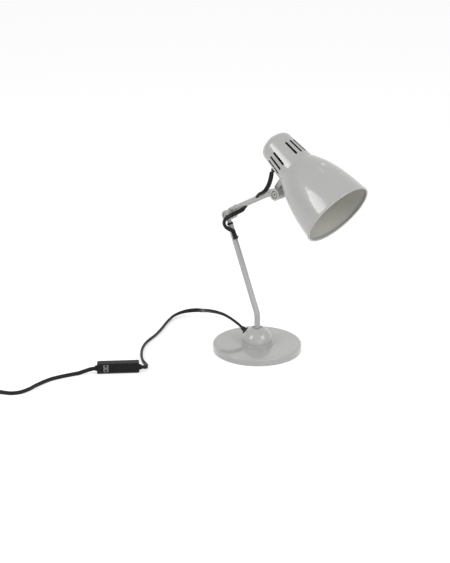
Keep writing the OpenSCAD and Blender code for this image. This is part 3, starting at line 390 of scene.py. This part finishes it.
# a profile of radius and level turned about Z: solid, or a ring that closes on its first point
def turned(name, profile, ring=False, around=modelling["around"]):
    deselect()
    radius, level = profile[0]
    fill = "NOTHING" if ring else "NGON"
    bpy.ops.mesh.primitive_circle_add(vertices=around, radius=radius, fill_type=fill, location=(0, 0, level))
    piece = bpy.context.object
    piece.name = piece.data.name = name
    bpy.ops.object.transform_apply(location=True, rotation=False, scale=False)
    bpy.ops.object.mode_set(mode="EDIT")
    bpy.ops.mesh.select_all(action="SELECT")
    for r, z in profile[1:] + (profile[:1] if ring else []):
        bpy.ops.mesh.extrude_region_move(TRANSFORM_OT_translate={"value": (0, 0, z - level)})
        bpy.ops.transform.resize(value=(r / radius, r / radius, 1), center_override=(0, 0, z))
        radius, level = r, z
    bpy.ops.mesh.select_all(action="SELECT")
    bpy.ops.mesh.remove_doubles(threshold=modelling["merge"])
    bpy.ops.mesh.normals_make_consistent(inside=False)
    bpy.ops.object.mode_set(mode="OBJECT")
    return piece


# chooses the edges that run along an axis: 0 is X, 1 is Y and 2 is Z
def runsAlong(axis, least=1):
    return lambda a, b: abs(a[axis] - b[axis]) > least


def bevelWhere(piece, chosen, width, segments=3):
    pick(piece)
    bpy.ops.object.mode_set(mode="EDIT")
    bpy.ops.mesh.select_all(action="DESELECT")
    bpy.ops.object.mode_set(mode="OBJECT")
    for edge in piece.data.edges:
        edge.select = chosen(*[piece.data.vertices[i].co for i in edge.vertices])
    bpy.ops.object.mode_set(mode="EDIT")
    bpy.ops.mesh.select_mode(type="EDGE")
    bpy.ops.mesh.bevel(offset=width, segments=segments, affect="EDGES", clamp_overlap=True)
    bpy.ops.object.mode_set(mode="OBJECT")


# leaves the piece in edit mode with the chosen faces selected
def pickFaces(piece, chosen):
    pick(piece)
    bpy.ops.object.mode_set(mode="EDIT")
    bpy.ops.mesh.select_mode(type="FACE")
    bpy.ops.mesh.select_all(action="DESELECT")
    bpy.ops.object.mode_set(mode="OBJECT")
    for face in piece.data.polygons:
        face.select = chosen(face)
    bpy.ops.object.mode_set(mode="EDIT")


def useModifier(piece, kind, **settings):
    pick(piece)
    modifier = piece.modifiers.new(kind.lower(), kind)
    for key, value in settings.items():
        setattr(modifier, key, value)
    bpy.ops.object.modifier_apply(modifier=modifier.name)


def soften(piece, width, segments=2, limit=35):
    angle = math.radians(limit)
    useModifier(piece, "BEVEL", width=width, segments=segments, limit_method="ANGLE", angle_limit=angle)


def carve(piece, *cutters):
    for cutter in cutters:
        useModifier(piece, "BOOLEAN", operation="DIFFERENCE", solver="EXACT", object=cutter)
        bpy.data.objects.remove(cutter)


def joined(*pieces):
    pick(pieces[0])
    for piece in pieces[1:]:
        piece.select_set(True)
    bpy.ops.object.join()
    return pieces[0]


# puts a finished piece in its place on its body and gives it its finish
def settle(piece, place, slot, body, *nodes):
    piece.data.transform(place)
    pick(piece)
    bpy.ops.object.shade_smooth_by_angle(angle=math.radians(modelling["smooth"]))
    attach(piece, body)
    if nodes:
        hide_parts(*nodes)
    wear(piece, slot)
    return piece


# a CAD node's mesh with its loose triangles merged into whole faces
def copyNode(name, node):
    deselect()
    source = frame["nodes"][node]
    piece = bpy.data.objects.new(name, source.data.copy())
    scene.collection.objects.link(piece)
    piece.data.materials.clear()
    pick(piece)
    bpy.ops.object.mode_set(mode="EDIT")
    bpy.ops.mesh.select_all(action="SELECT")
    bpy.ops.mesh.remove_doubles(threshold=modelling["mergeNode"])
    bpy.ops.mesh.dissolve_limited(angle_limit=math.radians(modelling["flat"]))
    bpy.ops.object.mode_set(mode="OBJECT")
    return piece


# the middle of a joint of the lamp, moved sideways to the given Y
def jointAt(name, side):
    joints = frame["record"]["behaviour"]["joints"]
    place = Vector(next(row["pos_m"] for row in joints if row["name"] == name))
    place.y = side
    return place


# Shade: the axis runs from the middle of the mouth to the socket
socket = next(row for row in frame["record"]["mounts"] if row["name"] == "lamp_socket")
shadeAxis = Vector(socket["axis"])
if shadeAxis.z < 0:
    shadeAxis = -shadeAxis
bell = {"socket": 121.5, "ends": [(60.8, 1.75), (57.9, 32.3), (52.6, 74.6), (32.8, 105)]}


def shadePlace():
    side = Vector((0, 1, 0))
    turn = Matrix((side.cross(shadeAxis), side, shadeAxis)).transposed().to_4x4()
    mouth = Vector(socket["pos_m"]) - shadeAxis * bell["socket"] * mm
    return Matrix.Translation(mouth) @ turn @ scale


# radius and level on the bell's outside, a curve from its mouth to the neck
def bellAt(t):
    a, b, c, d = (Vector(p) for p in bell["ends"])
    return a * (1 - t) ** 3 + 3 * b * t * (1 - t) ** 2 + 3 * c * t * t * (1 - t) + d * t**3


# Lining: the enamel, a thin coat on the sheet's inner side; its colour is painted lighter and warmer than the
# outer paint, painted light for the inside of the shade
paintedLightLining = {"sheet": 1, "gap": 0.06, "coat": 0.25, "first": 2, "rings": 33, "around": 96}


def lineShade():
    inner, outer = [], []
    depth = paintedLightLining["sheet"] + paintedLightLining["gap"]
    for i in range(paintedLightLining["first"], paintedLightLining["rings"]):
        here, ahead = bellAt(i / paintedLightLining["rings"]), bellAt((i + 1) / paintedLightLining["rings"])
        out = Vector((ahead.y - here.y, here.x - ahead.x)).normalized()
        outer.append(tuple(here - out * depth))
        inner.append(tuple(here - out * (depth + paintedLightLining["coat"])))
    enamel = turned("shadeLitLining", outer + inner[::-1], ring=True, around=paintedLightLining["around"])
    settle(enamel, shadePlace(), "paintedLightLining", "head")


# Neck: slots in groups round the housing; "turn" moves all of them, "step" is the angle between neighbours
neck = {
    "start": 105, "slotStart": 9.6, "slotLength": 28.8, "slotWidth": 3.8, "slotRound": 0.98,
    "groups": (-90, 0, 90), "turn": 3, "step": 19, "perGroup": 3, "cut": (22, 38),
    "paintedShadeMargin": 1, "besideSlots": 0.5, "elsewhere": -0.2, "smooth": 30,
}


# a short rounded block, stretched to the slot's length between its two round ends
def slotCutter(angle):
    half = neck["slotWidth"] / 2
    start = neck["start"] + neck["slotStart"] + half
    near, far = neck["cut"]
    cutter = block("slotCutter", (near, -half, start - half), (far, half, start + half))
    bevelWhere(cutter, runsAlong(0), half * neck["slotRound"], segments=5)
    for corner in cutter.data.vertices:
        if corner.co.z > start:
            corner.co.z += neck["slotLength"] - 2 * half
    cutter.data.transform(shadePlace() @ turnAbout("Z", angle))
    return cutter


# the neck is painted outside; its inside and the walls of its slots are painted black, painted shade for the
# dark inside the housing
def openNeck():
    piece = copyNode("neckShell", "neck_housing")
    for group in neck["groups"]:
        for i in range(neck["perGroup"]):
            across = i - (neck["perGroup"] - 1) / 2
            carve(piece, slotCutter(group - neck["turn"] + across * neck["step"]))
    piece.data.materials.append(materials["paint"])
    piece.data.materials.append(materials["paintedShadeBlack"])
    middle = shadePlace().translation
    low = (neck["start"] + neck["slotStart"] - neck["paintedShadeMargin"]) * mm
    high = low + (neck["slotLength"] + 2 * neck["paintedShadeMargin"]) * mm
    # painted shade: faces that look inwards are black, and level with the slots so is a face that looks
    # sideways
    for face in piece.data.polygons:  # level with the slots, a face that looks sideways is black too
        out = face.center - middle
        along = out.dot(shadeAxis)
        out -= shadeAxis * along
        bar = neck["besideSlots"] if low < along < high else neck["elsewhere"]
        face.material_index = 1 if face.normal.dot(out) < bar * out.length else 0
    pick(piece)
    bpy.ops.object.shade_smooth_by_angle(angle=math.radians(neck["smooth"]))
    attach(piece, "head")
    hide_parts("neck_housing")


# Sleeve: what the slots show, a plain black cone behind them, painted shade for the dark inside the neck
shadeSleeve = {"low": 27.6, "high": 26, "from": 113, "to": 145, "sheet": 0.6}


def lineNeck():
    profile = [(shadeSleeve["low"], shadeSleeve["from"]), (shadeSleeve["high"], shadeSleeve["to"])]
    inner = [(radius - shadeSleeve["sheet"], level) for radius, level in profile[::-1]]
    settle(turned("neckShadeSleeve", profile + inner, ring=True), shadePlace(), "paintedShadeBlack", "head")


# Thread: a thin tube whose radius rolls in and out along a screw line, and runs out plain at both ends
thread = {
    "radius": 13.3, "depth": 0.55, "wall": 0.5, "pitch": 3.63, "start": 110.5, "length": 22,
    "fade": 2, "rings": 96, "around": 48,
}


def threadShell():
    steps, start, end = thread["rings"], thread["start"], thread["start"] + thread["length"]
    levels = [start + thread["length"] * i / steps for i in range(steps + 1)]
    outside = [(thread["radius"] + thread["wall"], z) for z in levels]
    inside = [(thread["radius"], z) for z in levels[::-1]]
    piece = turned("threadShell", outside + inside, ring=True, around=thread["around"])
    for corner in piece.data.vertices:
        x, y, z = corner.co
        wave = 0.5 - 0.5 * math.cos(2 * math.pi * z / thread["pitch"] - math.atan2(y, x))
        fade = max(0, min(1, (z - start) / thread["fade"], (end - z) / thread["fade"]))
        grow = 1 + thread["depth"] * wave * fade / thread["radius"]
        corner.co.x, corner.co.y = x * grow, y * grow
    settle(piece, shadePlace(), "brass", "head", "screw_shell")


# Dome grommet: a flange on the dome and a ribbed tail that narrows along the cord
grommet = {
    "centre": 15.5, "turn": 188, "rise": 28.4, "flange": 6.8, "from": 25.6, "to": 27.6, "edge": 0.5,
    "stub": 3.9, "sunk": 3, "ribs": 7, "pitch": 0.9, "proud": 0.25, "narrow": 0.07,
    "tip": 3.3, "end": 35.5, "tipEdge": (0.4, 0.3),
}


def dressDome():
    g = grommet
    wide, low, high, edge = g["flange"], g["from"], g["to"], g["edge"]
    flange = [(wide - edge, low), (wide, low + edge), (wide, high - edge), (wide - edge, high)]
    ribs = []
    for i in range(g["ribs"]):
        ribs.append((g["stub"] + g["proud"] * (i % 2) - g["narrow"] * i, high + g["pitch"] * (i + 1)))
    tip = [(g["tip"], g["end"]), (g["tip"] - g["tipEdge"][0], g["end"] + g["tipEdge"][1])]
    stub = [(g["stub"], low - g["sunk"]), (g["stub"], low)]
    piece = turned("domeGrommet", stub + flange + [(g["stub"], high)] + ribs + tip)
    outwards = turnAbout("Z", g["turn"]) @ turnAbout("Y", 90 - g["rise"])
    place = Matrix.Translation((0, 0, g["centre"] * mm)) @ outwards @ scale
    settle(piece, place, "soft_black", "base", "dome_grommet")


# Stem: a black ring below the elbow, its levels measured along the stem from the joint
stem = {"lean": 22.9}
cap = {"radius": 5.4, "top": -13.4, "bottom": -16.6, "edge": 0.5, "shoulder": 0.6}


def stemCap():
    rim, top, bottom, edge = cap["radius"], cap["top"], cap["bottom"], cap["edge"]
    profile = [(rim - edge, bottom), (rim, bottom + edge), (rim, top - edge), (rim - cap["shoulder"], top)]
    onStem = Matrix.Translation(jointAt("elbow", 0)) @ turnAbout("Y", -stem["lean"])
    settle(turned("stemCap", profile), onStem @ scale, "black_plastic", "stem")


# Boot: the block that the cord enters by, narrower at its top, with a thin flap on one side
boot = {
    "low": (-4.8, -3.4, -6.2), "high": (4.8, 3.6, 7.4), "view": 42, "shift": (0.7, 0.6, 0), "edge": 1.3,
    "topWide": 0.72, "topDeep": 0.8, "topShift": -0.8, "bottomWide": 0.86,
}
flap = {"low": (1.5, -3, -4.2), "high": (6.2, 3, -1.8), "tipFrom": 5, "tip": -3.1, "middle": -3, "thin": 0.3}


def stemBoot():
    piece = block("stemBoot", boot["low"], boot["high"])
    for corner in piece.data.vertices:
        if corner.co.z > 0:
            corner.co.x = corner.co.x * boot["topWide"] + boot["topShift"]
            corner.co.y *= boot["topDeep"]
        else:
            corner.co.x *= boot["bottomWide"]
    wing = block("bootFlap", flap["low"], flap["high"])
    for corner in wing.data.vertices:
        if corner.co.x > flap["tipFrom"]:
            corner.co.z = flap["tip"] + (corner.co.z - flap["middle"]) * flap["thin"]
    piece = joined(piece, wing)
    soften(piece, boot["edge"], segments=3)
    low, high = (Vector(corner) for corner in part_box("stem_boot"))
    centre = Matrix.Translation((low + high) / 2 + Vector(boot["shift"]) * mm)
    place = centre @ turnAbout("Y", -stem["lean"]) @ turnAbout("Z", boot["view"]) @ scale
    settle(piece, place, "soft_black", "stem", "stem_boot")


# Rear knuckle, in metres: past "from" along the arm, its shoulder is brought down round the tube
knuckle = {"side": 0.011, "rise": 29.3, "tube": 0.006, "wall": 0.0056, "from": 0.004}


def slimKnuckle():
    onArm = Matrix.Translation(jointAt("elbow", knuckle["side"])) @ turnAbout("Y", -knuckle["rise"])
    piece = copyNode("rearKnuckle", "arm_rear_knuckle")
    for vertex in piece.data.vertices:
        place = onArm.inverted() @ vertex.co
        off = Vector((place.y, place.z - knuckle["tube"]))
        if place.x > knuckle["from"] and off.y > 0 and off.length > knuckle["wall"]:
            off *= knuckle["wall"] / off.length
            vertex.co = onArm @ Vector((place.x, off.x, off.y + knuckle["tube"]))
    settle(piece, Matrix.Identity(4), "paint", "arm", "arm_rear_knuckle")


# Joint screws: a dark ring round each head and a black six-sided socket in it, painted shade for the recess
# round the head and the shaded hole; levels are from its face
shadeRings = {"elbow_screw": ("elbowShadeRing", "stem"), "head_screw": ("headShadeRing", "arm")}
shadeRing = {"inner": 4.5, "outer": 5.4, "from": -1.6, "to": -0.9, "around": 48}
hole = {"radius": 1.8, "from": -0.5, "to": 0.2, "top": 0.25, "edge": 0.3, "sides": 6}


def dressJoints():
    outer, inner, back, front = shadeRing["outer"], shadeRing["inner"], shadeRing["from"], shadeRing["to"]
    ringProfile = [(outer, back), (outer, front), (inner, front), (inner, back)]
    radius, foot, rim, top = hole["radius"], hole["from"], hole["to"], hole["top"]
    holeProfile = [(radius, foot), (radius, rim), (radius - hole["edge"], top)]
    for node, (name, body) in shadeRings.items():
        low, high = (Vector(corner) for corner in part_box(node))
        onFace = Matrix.Translation(((low.x + high.x) / 2, low.y, (low.z + high.z) / 2))
        place = onFace @ turnAbout("X", 90) @ scale
        # painted shade: the dark ring and the black socket stand for shade in the recess and the hole
        settle(turned(name, ringProfile, ring=True, around=shadeRing["around"]), place, "washer", body)
        settle(turned(name + "Hole", holeProfile, around=hole["sides"]), place, "washer", body)


# Switch: X runs along the cord, the face looks towards -Y; a recess is its two corners in X and Z
switch = {
    "place": (-124.9, -251.4, 0), "turn": 46.6, "low": (-3, -7, 0), "high": (66.4, 6, 19.2),
    "corners": ((-3, 19.2, 3.4), (66.4, 19.2, 1.8), (66.4, 0, 3.8), (-3, 0, 1.8)),
    "edge": 1.2, "chamfer": 3.4, "wideRound": 5, "tightRound": 2.4, "seam": (0.1, 0.5), "groove": 0.4,
    "well": ((5.4, 3.6), (24.4, 17)), "wellDepth": 1.5, "panel": ((26, 4.8), (62, 15.4)), "panelDepth": 0.5,
    "recessRound": 1.2, "softEdge": 0.3, "softLimit": 50, "touch": 0.01, "near": 0.1,
}


def onSwitch():
    return scale @ Matrix.Translation(switch["place"]) @ turnAbout("Z", switch["turn"])


def recess(corners, depth):
    (x0, z0), (x1, z1) = corners
    face = switch["low"][1]
    cutter = block("recess", (x0, face - modelling["overshoot"], z0), (x1, face + depth, z1))
    bevelWhere(cutter, runsAlong(1), switch["recessRound"], segments=4)
    return cutter


# the case's outline: a chamfer under the face, corners of their own, and a soft edge round face and back
def roundCase(case):
    front, back = switch["low"][1], switch["high"][1]
    middle = (switch["low"][0] + switch["high"][0]) / 2
    touch, near = switch["touch"], switch["near"]
    across, upright = runsAlong(1, least=5), runsAlong(2, least=5)

    def onFace(a, b):
        return max(a.y, b.y) < front + touch

    def onBack(a, b):
        return min(a.y, b.y) > back - touch

    bevelWhere(case, lambda a, b: onFace(a, b) and max(a.z, b.z) < touch, switch["chamfer"], segments=1)
    for x, z, width in switch["corners"]:
        bevelWhere(case, lambda a, b: across(a, b) and abs(a.x - x) < near and abs(a.z - z) < near, width)
    # seen from above, two opposite corners are rounded widely and the other two tightly
    for isWide, width in ((True, switch["wideRound"]), (False, switch["tightRound"])):
        bevelWhere(case, lambda a, b: upright(a, b) and ((a.x > middle) == (a.y < 0)) == isWide, width, 4)
    bevelWhere(case, lambda a, b: onFace(a, b) or onBack(a, b), switch["edge"])


# the groove where the two halves of the case meet
def grooveCase(case):
    pick(case)
    bpy.ops.object.mode_set(mode="EDIT")
    for level in switch["seam"]:
        bpy.ops.mesh.select_all(action="SELECT")
        bpy.ops.mesh.bisect(plane_co=(0, level, 0), plane_no=(0, 1, 0))
    low, high = switch["seam"]
    pickFaces(case, lambda face: low < face.center.y < high and abs(face.normal.y) < 0.5)
    bpy.ops.mesh.extrude_region_shrink_fatten(TRANSFORM_OT_shrink_fatten={"value": -switch["groove"]})
    bpy.ops.object.mode_set(mode="OBJECT")


# Nub: the boss that the cord leaves the case by, at the end x, pointing the given way along X
nub = {"length": 4, "half": 3.4, "low": 4.6, "high": 13.4, "narrow": 0.7, "flat": 0.85, "edge": 0.8}


def cordNub(name, x, way):
    ends = sorted((x, x + nub["length"] * way))
    middle = (nub["low"] + nub["high"]) / 2
    piece = block(name, (ends[0], -nub["half"], nub["low"]), (ends[1], nub["half"], nub["high"]))
    for corner in piece.data.vertices:
        if (corner.co.x - x) * way > 1:
            corner.co.y *= nub["narrow"]
            corner.co.z = middle + (corner.co.z - middle) * nub["flat"]
    soften(piece, nub["edge"])
    return piece


def switchCase():
    case = block("switchCase", switch["low"], switch["high"])
    roundCase(case)
    grooveCase(case)
    carve(case, recess(switch["well"], switch["wellDepth"]), recess(switch["panel"], switch["panelDepth"]))
    soften(case, switch["softEdge"], limit=switch["softLimit"])
    case = joined(case, cordNub("leftNub", switch["low"][0], -1), cordNub("rightNub", switch["high"][0], 1))
    return settle(case, onSwitch(), "black_plastic", "base",
                  "switch_front", "switch_back", "switch_contacts", "switch_screws")


# Slider: a plate with a notch at each end and ribs between them; depths are from the case's face
slider = {
    "low": (7.6, 4.2), "high": (15.8, 16.4), "depth": (0.2, 1.4), "edge": 0.2,
    "notch": 2.1, "notchFrom": 0.9, "notchTo": 4,
    "ribs": 4, "firstRib": 1.2, "ribStep": 1.7, "ribWidth": 0.7, "ribDepth": (-0.5, 0.4),
    "ribInset": 4.4, "ribEdge": 0.15,
}


def sliderBar():
    face = switch["low"][1]
    (x0, z0), (x1, z1) = slider["low"], slider["high"]
    under, over = slider["depth"]
    bar = block("switchSlider", (x0, face + under, z0), (x1, face + over, z1))
    left, right = (x0 + x1) / 2 - slider["notch"], (x0 + x1) / 2 + slider["notch"]
    near, far = slider["notchFrom"], slider["notchTo"]
    above, below = face - modelling["overshoot"], face + modelling["overshoot"]
    low = block("lowNotch", (left, above, z0 + near), (right, below, z0 + far))
    high = block("highNotch", (left, above, z1 - far), (right, below, z1 - near))
    carve(bar, low, high)
    soften(bar, slider["edge"], limit=switch["softLimit"])
    proud, foot = slider["ribDepth"]
    ribs = []
    for i in range(slider["ribs"]):
        x = x0 + slider["firstRib"] + slider["ribStep"] * i
        rib = block("rib", (x, face + proud, z0 + slider["ribInset"]),
                    (x + slider["ribWidth"], face + foot, z1 - slider["ribInset"]))
        soften(rib, slider["ribEdge"], segments=1)
        ribs.append(rib)
    return settle(joined(bar, *ribs), onSwitch(), "slider", "slider", "switch_slider")


# Screws: cross-slotted heads on the back of the case
screws = {
    "along": (30, 56), "level": 11, "around": 24, "slot": 1.6, "slotHalf": 0.3, "slotFloor": -0.1,
    "profile": [(2.4, -0.6), (2.4, 0), (2.1, 0.3)],
}


def screwHeads():
    long, half, floor, top = screws["slot"], screws["slotHalf"], screws["slotFloor"], modelling["overshoot"]
    heads = []
    for x in screws["along"]:
        head = turned("screwHead", screws["profile"], around=screws["around"])
        one = block("slot", (-long, -half, floor), (long, half, top))
        other = block("slot", (-half, -long, floor), (half, long, top))
        carve(head, one, other)
        onBack = Matrix.Translation((x, switch["high"][1], screws["level"]))
        head.data.transform(onBack @ turnAbout("X", -90))
        heads.append(head)
    return settle(joined(*heads), onSwitch(), "steel", "base")


# Plug: the CAD's own body with its edges rounded
plugEdge = {"width": 0.9, "limit": 25}


def dressPlug():
    piece = copyNode("plugBody", "plug_body")
    soften(piece, plugEdge["width"] * mm, segments=3, limit=plugEdge["limit"])
    return settle(piece, Matrix.Identity(4), "soft_black", "base", "plug_body")


# Ties: a rounded block over the turns loses its two end faces, and the rest becomes a band
tie = {"margin": 2.8, "half": 3, "height": 15.4, "round": 1.8, "band": 0.7}


def dressTies():
    inner, outer, half = coil["least"] - tie["margin"], coilReach() + tie["margin"], tie["half"]
    band = block("tie", (inner, -half, 0), (outer, half, tie["height"]))
    bevelWhere(band, runsAlong(1), tie["round"], segments=4)
    pickFaces(band, lambda face: abs(face.normal.y) > 0.9)
    bpy.ops.mesh.delete(type="FACE")
    bpy.ops.object.mode_set(mode="OBJECT")
    useModifier(band, "SOLIDIFY", thickness=tie["band"], offset=-1)
    bpy.ops.object.duplicate()
    other = bpy.context.object
    centre = Matrix.Translation((coil["start"][0], coil["start"][1] - coilReach(), 0))
    band.data.transform(centre)
    other.data.transform(centre @ turnAbout("Z", 180))
    return settle(joined(band, other), scale, "black_plastic", "base", "coil_ties")


lineShade()
openNeck()
lineNeck()
threadShell()
print("shade dressed")
dressDome()
stemCap()
stemBoot()
slimKnuckle()
dressJoints()
switchPieces = [switchCase(), sliderBar(), screwHeads()]
plug = dressPlug()
ties = dressTies()
print("pieces dressed")

# Studio: metres, and directions seen from aim, in degrees: azimuth 0 is towards -Y and 90 towards X
studio = {"floor": 9, "floorSides": 96, "ambient": 0.57, "backdrop": 1, "floorColor": 0.8, "floorGlow": 0.5}
aim = Vector((0.08, 0, 0.25))
key = {
    "corners": ((-32.6, 34.7), (-26.5, 12.1), (-3.7, 23.1), (-9.8, 45.7)),
    "away": 1.6, "glow": 8.4, "fade": 0.45,
}
softboxes = {
    "low": {"azimuth": 62, "height": 6, "away": 1.9, "size": (1.2, 1.2), "watts": 4.6},
    "right": {"azimuth": 95, "height": 31, "away": 1.6, "size": (0.6, 0.75), "watts": 7},
    "backLow": {"azimuth": -158, "height": 45.7, "away": 1.6, "size": (0.09, 0.09), "watts": 0.13},
    "backHigh": {"azimuth": -153, "height": 71.8, "away": 1.6, "size": (0.09, 0.09), "watts": 0.13},
}


def towards(azimuth, height):
    a, e = math.radians(azimuth), math.radians(height)
    return Vector((math.sin(a) * math.cos(e), -math.cos(a) * math.cos(e), math.sin(e)))


# a glowing card in front of the lamp, dimmer towards its far side
def hangKey():
    bpy.ops.mesh.primitive_circle_add(vertices=4, fill_type="NGON")
    card = bpy.context.object
    card.name = "keyCard"
    corners = [aim + towards(*corner) * key["away"] for corner in key["corners"]]
    for vertex, corner in zip(card.data.vertices, corners):
        vertex.co = corner
    card.visible_camera = False
    glow = bpy.data.materials.new("keyGlow")
    glow.use_nodes = True
    tree = glow.node_tree
    near, far = (corners[0] + corners[1]) / 2, (corners[2] + corners[3]) / 2
    way = (far - near).normalized()
    along = tree.nodes.new("ShaderNodeVectorMath")
    along.operation = "DOT_PRODUCT"
    along.inputs[1].default_value = way
    tree.links.new(tree.nodes.new("ShaderNodeTexCoord").outputs["Object"], along.inputs[0])
    level = tree.nodes.new("ShaderNodeMapRange")
    level.inputs["From Min"].default_value = near.dot(way)
    level.inputs["From Max"].default_value = far.dot(way)
    level.inputs["To Min"].default_value = key["glow"]
    level.inputs["To Max"].default_value = key["glow"] * key["fade"]
    tree.links.new(along.outputs["Value"], level.inputs["Value"])
    lamp = tree.nodes.new("ShaderNodeEmission")
    tree.links.new(level.outputs["Result"], lamp.inputs["Strength"])
    tree.links.new(lamp.outputs[0], tree.nodes["Material Output"].inputs[0])
    card.data.materials.append(glow)


# 1 for the rays that see the scene, from the eye, a mirror or glass, and 0 for those that only light it
def seenRays(tree):
    rays = tree.nodes.new("ShaderNodeLightPath")
    seen = rays.outputs["Is Camera Ray"]
    for other in ("Is Glossy Ray", "Is Transmission Ray"):
        step = tree.nodes.new("ShaderNodeMath")
        step.operation = "MAXIMUM"
        tree.links.new(seen, step.inputs[0])
        tree.links.new(rays.outputs[other], step.inputs[1])
        seen = step.outputs[0]
    return seen


# the bright shader where the scene is seen, the dim one where it lights
def showBright(tree, output, dim, bright):
    mix = tree.nodes.new("ShaderNodeMixShader")
    tree.links.new(seenRays(tree), mix.inputs[0])
    tree.links.new(dim.outputs[0], mix.inputs[1])
    tree.links.new(bright.outputs[0], mix.inputs[2])
    tree.links.new(mix.outputs[0], tree.nodes[output].inputs[0])


def paintRoom():
    world = bpy.data.worlds.new("room")
    scene.world = world
    world.use_nodes = True
    tree = world.node_tree
    dim, bright = tree.nodes["Background"], tree.nodes.new("ShaderNodeBackground")
    for light, strength in ((dim, studio["ambient"]), (bright, studio["backdrop"])):
        light.inputs["Color"].default_value = (1, 1, 1, 1)
        light.inputs["Strength"].default_value = strength
    showBright(tree, "World Output", dim, bright)


def layFloor():
    bpy.ops.mesh.primitive_circle_add(vertices=studio["floorSides"], radius=studio["floor"], fill_type="NGON")
    floor = bpy.context.object
    floor.name = "floor"
    card = bpy.data.materials.new("floorCard")
    card.use_nodes = True
    tree = card.node_tree
    matte = tree.nodes.new("ShaderNodeBsdfDiffuse")
    matte.inputs["Color"].default_value = [studio["floorColor"]] * 3 + [1]
    glow = tree.nodes.new("ShaderNodeEmission")
    glow.inputs["Strength"].default_value = studio["floorGlow"]
    both = tree.nodes.new("ShaderNodeAddShader")
    tree.links.new(matte.outputs[0], both.inputs[0])
    tree.links.new(glow.outputs[0], both.inputs[1])
    showBright(tree, "Material Output", matte, both)
    floor.data.materials.append(card)


def hangSoftboxes():
    for name, box in softboxes.items():
        away = towards(box["azimuth"], box["height"])
        bpy.ops.object.light_add(type="AREA", location=aim + away * box["away"])
        lamp = bpy.context.object
        lamp.name = name + "Softbox"
        lamp.rotation_euler = away.to_track_quat("Z", "Y").to_euler()
        lamp.data.shape = "RECTANGLE"
        lamp.data.size, lamp.data.size_y = box["size"]
        lamp.data.energy = box["watts"]


paintRoom()
layFloor()
hangKey()
hangSoftboxes()
print("studio lit")
